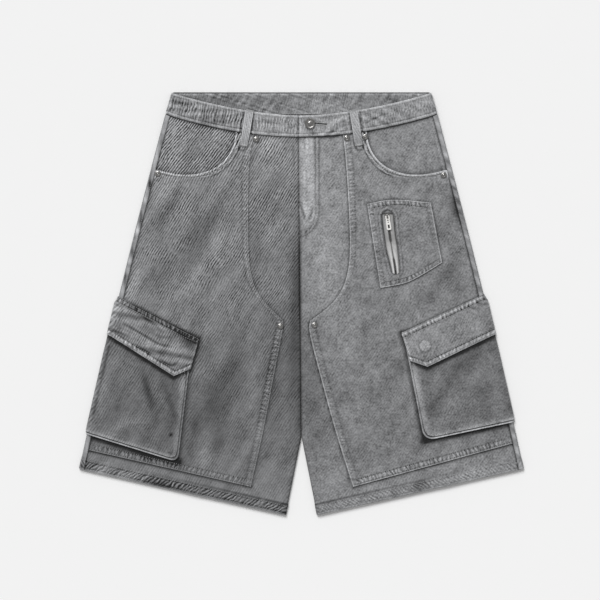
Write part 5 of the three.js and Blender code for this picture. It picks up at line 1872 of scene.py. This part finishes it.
    def flap(self) -> None:
        """Builds the creased flap."""
        cut, soft = self.cut, self.soft
        head, foot = (self.side_point(y) for y in cut.flap_outer)
        left, right = np.array([cut.flap_top, cut.flap_inner]), np.array([head, foot])
        bottom = np.array([cut.flap_inner, cut.flap_point, foot])
        corner = float(lengths(bottom)[1] / lengths(bottom)[2])
        grid = Patch(np.array([left[0], head]), bottom, left, right).grid(
            Spacing(FINE_EDGE, PLAIN_EDGE, 2.0), Spacing(FINE_EDGE, FINE_EDGE, 1.5), corner)
        reach = Reach.of(grid)
        share = SHORTS.side_share(grid)
        lift = mix(mix(1.6, 3.2, share), mix(4.6, 7.5, share), smooth(reach.top / 12.5))
        across = reach.left / np.maximum(reach.left[:, -1:], 1)
        down = reach.top / np.maximum(reach.top[-1:], 1)
        lift = lift + 0.9 * np.sin(math.pi * np.clip(across, 0, 1)) * peak(down, 0.55, 0.2)
        surface = SHORTS.drape(self.side.value, grid, lift)
        lower, upper = SeamRelief(pucker=0.2, seed=111), SeamRelief(pucker=0.24, wave=7, seed=113)
        rim = reach.nearest("left", "bottom", "top")
        relief = lower.height(reach.bottom, reach.left) + upper.height(reach.top, reach.left) + rounded(rim, 1.0)
        # Painted shade in the stitch grooves and painted light and shade on the puckers; a lighter band along the
        # bottom between dark lines; a dark line and a light rim along the inner edge.
        shade = lower.dark(reach.bottom, reach.left, 0.34, 0.3) + upper.dark(reach.top, reach.left, 0.3, 0.1)
        shade += self.top_band(reach) - (0.5 if soft else 0.8) * peak(reach.bottom, 3.8, 3.6, 4)
        shade += strokes(reach.bottom, (0.5, 0, 0.7), (0.5, 9.0, 1.2))
        shade += strokes(reach.left, (0.4, 0, 0.8), (-0.5 if soft else -0.1, 2.0, 1.3))
        if soft:
            snap = np.hypot(grid[..., 0] - 185, grid[..., 1] + 63)
            relief += 0.5 * smooth((7.8 - snap) / 1.4)
            shade += 0.45 * peak(snap, 9.0, 1.0) - 0.42 * smooth((8.5 - snap) / 1.0)
            shade -= 0.12 * smooth((reach.top - 9) / 4)
        else:
            # Painted light and shade of diagonal wrinkles across the flap.
            waves = np.clip(ripple(reach.left * 0.4 - reach.top * 1.4, 21, 117), -1, 1)
            shade -= (0.62 * waves - 0.03) * smooth((reach.top - 8) / 4)
        seam = seam_field((reach.left, reach.top, 1.0), (reach.left + 2, reach.bottom, 1.0))
        outer = self.dress("flap", "cargo_face", surface, grid, 1.35, relief, rim, np.clip(shade, -1.0, 0.9), seam=seam)
        self.stitches.run(outer[4:-4, 4])
        for row in (4, 10, -5, -11):
            self.stitches.run(outer[row, 4:-6])

    def top_band(self, reach: Reach) -> Array:
        """Darkening of the flap's stitched upper band: strong on the right pocket, while on the left a light rim makes
        it light; both have a dark line along the top seam.
        """
        inside = 1 - smooth((reach.top - 9.5) / 2.5)
        if self.soft:
            return 0.1 * inside + strokes(reach.top, (0.5, 0, 0.8), (-0.85, 2.6, 1.7))
        outer_end = smooth((reach.left[:, -1:] + 10 - reach.left) / 50)
        dark = 0.46 + 0.36 * smooth((56 - reach.left) / 40) + 0.1 * ripple(reach.left, 14, 119)
        return inside * dark * outer_end + 0.4 * peak(reach.top, 0, 1.0)

    def dress(self, part: str, below: str, *sizes: object, overlay: bool = True, **more: Array) -> Array:
        """Builds and dresses one part.

        Args:
            part: Its name within the pocket.
            below: The name, without its side, of what it lies on.
            sizes: The cloth piece's surface, flat cut, wall, relief, edge and shade.
            overlay: Whether it has the finish of an overlay.
            more: The cloth piece's other fields.

        Returns:
            Its outer surface, for the stitches.
        """
        piece = ClothPiece(f"cargo_{part}_{self.side.label}", *sizes, **more)
        piece.dress(cloth_for(self.side, overlay), f"{below}_{self.side.label}", held="folded")
        return piece.outer()

    def build(self) -> None:
        """Builds the pocket's three pieces and its stitches."""
        self.gusset()
        self.face()
        self.flap()
        self.stitches.build()


@dataclass
class ZipPocket:
    """The zip patch pocket on the left thigh, with its tape, teeth, slider and pull tab."""

    lift: float = 3.12
    wall: float = 1.2
    slot: tuple = ((128.7, 141), (119.4, 136), (120.5, 120), (125.5, 85), (132.5, 58), (135.5, 44.5),
                   (147.5, 44.5), (147.2, 58), (145, 80), (140.5, 112), (138.8, 136))
    top: tuple[float, float] = (128.6, 131)
    bottom: tuple[float, float] = (141, 46)
    tooth: tuple[float, float, float] = (2.6, 0.8, 0.7)
    tooth_pitch: float = 1.5
    stitches: Stitching = field(default_factory=lambda: Stitching("stitching_zip_pocket", THREAD))

    def slot_line(self) -> Array:
        """The slot's outline, closed."""
        return soft_line(list(self.slot) + [self.slot[0]], 2)

    def patch(self) -> None:
        """Builds the patch and cuts its slot."""
        p = [np.array(q) for q in ZIP_PATCH]
        shape = Patch(soft_line(p[:3], 3), soft_line(p[6:2:-1], 3), np.array([p[0], p[6]]), np.array([p[2], p[3]]))
        grid = shape.grid(Spacing(FINE_EDGE, FINE_EDGE, 1.5), Spacing(FINE_EDGE, FINE_EDGE, 1.8))
        reach = Reach.of(grid)
        rim, slot = reach.nearest(), distance_to(grid, self.slot_line())
        sides = SeamRelief(pucker=0.16, seed=121)
        relief, shade = rounded(rim, 0.9), -0.5 * peak(rim, 1.0, 1.2)
        # Painted shade in the stitch grooves and painted light and shade on the puckers along each edge.
        rows = ((reach.left, reach.top, 0.26, 0.3), (reach.right, reach.top, 0.1, 0.14),
                (reach.top, reach.left, 0.5, 0.3), (reach.bottom, reach.left, 0.26, 0.34))
        for distance, run, grooves, ladder in rows:
            relief += sides.height(distance, run)
            shade += sides.dark(distance, run, grooves, ladder)
        relief += strokes(slot, (0.35, 0, 2.4), (-0.3, 4.2, 0.8))
        relief += 0.3 * peak(slot, 0, 9) * ripple(grid[..., 1] + grid[..., 0] * 0.3, 12, 125)
        # Painted shadow along the slot's edge, a lighter welt and a dark line beyond it.
        shade += strokes(slot, (0.85, 0, 1.5), (-0.2, 2.8, 1.1), (0.4, 5.2, 1.0))
        seam = seam_field((reach.top, reach.left, 0.5), (reach.top, reach.right, 0.3),
                          (reach.left, reach.top, 0.9), (reach.left, reach.bottom, 0.7))
        piece = ClothPiece("zip_pocket", SHORTS.over_front(grid, self.lift), grid, self.wall, relief,
                           np.minimum(rim, slot + 1.5), np.clip(shade, -0.6, 0.9), seam=seam)
        self.cut_slot(piece.dress(SOFT_TOP, "double_knee_left"))
        outer = piece.outer()
        for column in (4, 10, -5):
            self.stitches.run(outer[5:-5, column])
        for row in (4, 10, -5, -11):
            self.stitches.run(outer[row, 5:-5])
        height = float(SHORTS.front_height(np.array(141.5), np.array(40.0)))
        self.stitches.bar((141.8, 39.5, height + self.lift + 0.3), 0.12, 9, 6.0)

    def cut_slot(self, made: bpy.types.Object) -> None:
        """Cuts the zip's slot through the patch."""
        line = self.slot_line()[:-1]
        count = len(line)
        vertices = np.concatenate([np.column_stack([line, np.full(count, z)]) for z in (2.0, 16.0)])
        ring = list(range(count))
        faces = [ring[::-1], [k + count for k in ring]]
        faces += [[k, (k + 1) % count, (k + 1) % count + count, k + count] for k in ring]
        cutter = make_object("slot_cutter", vertices, faces, SOFT_TOP, rounded_look=False)
        bpy.ops.object.select_all(action="DESELECT")
        cutter.select_set(True)
        bpy.context.view_layer.objects.active = cutter
        bpy.ops.object.mode_set(mode="EDIT")
        bpy.ops.mesh.select_all(action="SELECT")
        bpy.ops.mesh.normals_make_consistent(inside=False)
        bpy.ops.object.mode_set(mode="OBJECT")
        cutter.select_set(False)
        cut_through(made, cutter)

    def tape(self) -> None:
        """Builds the tape's two halves as one ribbed strip with a groove down its middle, painted dark as the shadowed
        gap between the halves.
        """
        line = np.array(self.slot, dtype=float)
        left, right = soft_line(line[1:6], 2), soft_line(line[[10, 9, 8, 7, 6]], 2)
        left[:, 0] += 0.5
        right[:, 0] -= 0.5
        grid = Patch.between(left, right).grid(
            Spacing((0, 0.4, 1.0), (0, 0.4, 1.0), 0.5), Spacing((0, 0.5), (0, 0.5), 1.1))
        reach = Reach.of(grid)
        middle = np.abs(reach.left - reach.right) / 2
        y = grid[..., 1]
        relief = strokes(middle, (0.55, 2.0, 1.5), (-0.75, 0, 0.7)) + 0.12 * ripple(y, 11, 131)
        # Painted shadow in the gap down the middle, wider towards both ends; painted highlights on the halves' ridges;
        # painted shadow along the outer edges, above the slider and over the upper part.
        gap = 0.35 + 0.5 * smooth((y - 88) / 8) + 0.5 * smooth((72 - y) / 8)
        shade = np.minimum(gap, 0.95) * peak(middle, 0, 1.0, 4)
        shade += 0.9 * smooth((gap - 0.5) / 0.4) * peak(middle, 0, 1.9, 4)
        shade -= (0.5 * smooth((88 - y) / 18) + 0.3 * smooth((y - 100) / 10)) * peak(middle, 3.2, 1.1)
        shade += 0.8 * peak(reach.nearest("left", "right"), 0, 1.5) + 0.9 * smooth((y - 132) / 3)
        shade += 0.3 * smooth((y - 84) / 14)
        piece = ClothPiece("zip_tape", SHORTS.over_front(grid, 2.62), np.dstack([reach.left, reach.top]), 0.7, relief,
                           reach.left, np.clip(shade, -0.5, 0.9))
        piece.dress(TAPE, "double_knee_left", slot="zip_tape")

    def teeth(self) -> None:
        """Builds the chain's small teeth, one modelled and the rest copied along the zip."""
        top, bottom = np.array(self.top), np.array(self.bottom)
        size = np.linalg.norm(bottom - top)
        way = (bottom - top) / size
        start, turn = top + way * 6, math.atan2(way[0], -way[1])
        bpy.ops.object.select_all(action="DESELECT")
        bpy.ops.mesh.primitive_cube_add(size=1, location=(0, 0, 0))
        tooth = bpy.context.object
        tooth.scale = [measure * MM for measure in self.tooth]
        bpy.ops.object.transform_apply(location=False, rotation=False, scale=True)
        bpy.ops.object.mode_set(mode="EDIT")
        bpy.ops.mesh.bevel(offset=0.16 * MM, segments=1, affect="EDGES")
        bpy.ops.object.mode_set(mode="OBJECT")
        base = np.array([v.co[:] for v in tooth.data.vertices]) / MM
        shape = [list(p.vertices) for p in tooth.data.polygons]
        bpy.data.objects.remove(tooth)
        spin = np.array([[math.cos(turn), -math.sin(turn), 0], [math.sin(turn), math.cos(turn), 0], [0, 0, 1]])
        vertices, faces = [], []
        for k in range(int((size - 8) / self.tooth_pitch)):
            place = SHORTS.over_front(start + way * self.tooth_pitch * k, 2.35)
            faces += [[v + k * len(base) for v in face] for face in shape]
            vertices.append((base + [0.35 * (-1) ** k, 0, 0]) @ spin.T + place)
        made = make_object("zip_teeth", np.concatenate(vertices), faces, NICKEL, rounded_look=False)
        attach(made, GARMENT)

    def build(self) -> None:
        """Builds the whole zip pocket, and gives the slider and the pull tab their finish."""
        self.patch()
        self.tape()
        self.teeth()
        # The slider takes the darker nickel, a painted shade seen through the pull tab's holes, and the pull tab the
        # near-white metal, a painted highlight.
        for node, finish in (("zip_slider", NICKEL), ("zip_pull", PAINTED_BRIGHT_ZIP_METAL)):
            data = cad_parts[node].data
            data.materials.clear()
            data.materials.append(finish.material())
        self.stitches.build()


@dataclass
class Trim:
    """The waist button and the rivets, modelled over their CAD nodes."""

    button_radius: float = 8.0
    button_stem: tuple = ((1.6, 0.1), (1.6, 3.0))
    button_cap: tuple = ((0.86, 3.1), (0.97, 3.5), (1, 4.1), (0.985, 4.9), (0.93, 5.4), (0.86, 5.5), (0.8, 5.35),
                         (0.76, 4.95), (0.7, 4.75), (0.5, 4.7), (0.46, 4.8), (0.44, 5.2), (0.38, 5.55), (0.26, 5.8),
                         (0.12, 5.9))
    rivet_count: int = 7
    rivet_radius: float = 4.6
    rivet_cap: tuple = ((1, 0.0), (1, 0.35), (0.96, 0.75), (0.86, 1.15), (0.7, 1.45), (0.5, 1.6), (0.42, 1.5),
                        (0.36, 1.45), (0.32, 1.6), (0.28, 2.0), (0.18, 2.25), (0.08, 2.3))

    def turned(self, name: str, node: str, profile: Points, segments: int) -> bpy.types.Object:
        """Turns a profile round an upright axis over a node.

        Args:
            name: The piece's name.
            node: The CAD node that it replaces, which gives its middle and its foot.
            profile: Radius and height pairs from the foot's rim to the top, in millimetres.
            segments: Steps round the axis.

        Returns:
            The finished object.
        """
        low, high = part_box(node)
        middle = Vector(((low[0] + high[0]) / 2, (low[1] + high[1]) / 2, low[2]))
        bpy.ops.object.select_all(action="DESELECT")
        radius, foot = profile[0]
        bpy.ops.mesh.primitive_circle_add(vertices=segments, radius=radius * MM, fill_type="NGON",
                                          location=middle + Vector((0, 0, foot * MM)))
        made = bpy.context.object
        made.name = name
        bpy.ops.object.transform_apply(location=True, rotation=False, scale=False)
        bpy.ops.object.mode_set(mode="EDIT")
        bpy.ops.mesh.select_all(action="SELECT")
        for (before, below), (radius, height) in zip(profile, profile[1:]):
            bpy.ops.mesh.extrude_region_move(TRANSFORM_OT_translate={"value": (0, 0, (height - below) * MM)})
            bpy.ops.transform.resize(value=(radius / before, radius / before, 1),
                                     center_override=(middle.x, middle.y, middle.z + height * MM))
        bpy.ops.mesh.select_all(action="SELECT")
        bpy.ops.mesh.normals_make_consistent(inside=False)
        bpy.ops.object.mode_set(mode="OBJECT")
        bpy.ops.object.shade_smooth_by_angle(angle=math.radians(34))
        bpy.context.scene.cursor.location = (0, 0, 0)
        bpy.ops.object.origin_set(type="ORIGIN_CURSOR")
        made.data.materials.append(NICKEL.material())
        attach(made, GARMENT)
        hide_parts(node)
        return made

    def build(self) -> None:
        """Builds the button and the rivets."""
        cap = [(share * self.button_radius, height) for share, height in self.button_cap]
        self.turned("button_waist", "waist_button", [*self.button_stem, *cap], 48)
        cap = [(share * self.rivet_radius, height) for share, height in self.rivet_cap]
        for number in range(1, self.rivet_count + 1):
            self.turned(f"rivet_cap_{number}", f"rivet_{number}", cap, 28)


@dataclass
class Studio:
    """Pale floor, soft lights and the camera above the laid garment."""

    floor_size: float = 6.0
    floor_tone: float = 0.908
    floor_drop: float = 0.0003
    frame_width: float = 0.9
    camera_height: float = 6.0
    shift: tuple[float, float] = (-0.0021, 0.00525)
    sensor: float = 36.0
    sun_power: float = 2.44
    sun_softness: float = 30
    sun_place: tuple[float, float, float] = (-0.35, 0.9, 1.0)
    ambient: float = 0.42

    def floor(self) -> None:
        """The surface that the garment lies on."""
        half = self.floor_size / 2
        nodes = NodeBuilder("floor_paper")
        grain = nodes.noise(nodes.object_place(), 40.0, 3.0)
        nodes.dress(grain * 0.003 + self.floor_tone, (1.0, 1.0, 1.0), Roughness=0.95, Specular_IOR_Level=0.0)
        mesh = bpy.data.meshes.new("floor")
        mesh.from_pydata([(-half, -half, 0), (half, -half, 0), (half, half, 0), (-half, half, 0)], [], [(0, 1, 2, 3)])
        mesh.materials.append(nodes.material)
        made = self.placed("floor", mesh)
        made.location.z = -self.floor_drop

    @staticmethod
    def placed(name: str, data: bpy.types.ID) -> bpy.types.Object:
        """Puts an object with its data into the scene."""
        made = bpy.data.objects.new(name, data)
        bpy.context.scene.collection.objects.link(made)
        return made

    def build(self) -> None:
        """Builds the floor, the lights and the camera."""
        self.floor()
        scene = bpy.context.scene
        sun = bpy.data.lights.new("key", "SUN")
        sun.energy, sun.angle = self.sun_power, math.radians(self.sun_softness)
        lamp = self.placed("key", sun)
        lamp.rotation_euler = (-Vector(self.sun_place)).to_track_quat("-Z", "Y").to_euler()
        scene.world = bpy.data.worlds.new("studio")
        scene.world.use_nodes = True
        background = scene.world.node_tree.nodes["Background"]
        background.inputs[0].default_value = (1, 1, 1, 1)
        background.inputs[1].default_value = self.ambient
        scene.view_settings.view_transform = "Standard"
        data = bpy.data.cameras.new("camera")
        data.lens = self.sensor * self.camera_height / self.frame_width
        data.clip_end = 50
        scene.camera = self.placed("camera", data)
        scene.camera.location = (*self.shift, self.camera_height)


def main() -> None:
    """Builds the studio and every piece of the garment in order."""
    logging.basicConfig(level=logging.INFO, format="%(name)s: %(message)s")
    Studio().build()
    Backs().build()
    Fronts().build()
    Overlays().build()
    Facings().build()
    Waistband().build()
    BeltLoops().build()
    for side in Side:
        CargoPocket(side).build()
    ZipPocket().build()
    Trim().build()


if __name__ == "__main__":
    main()
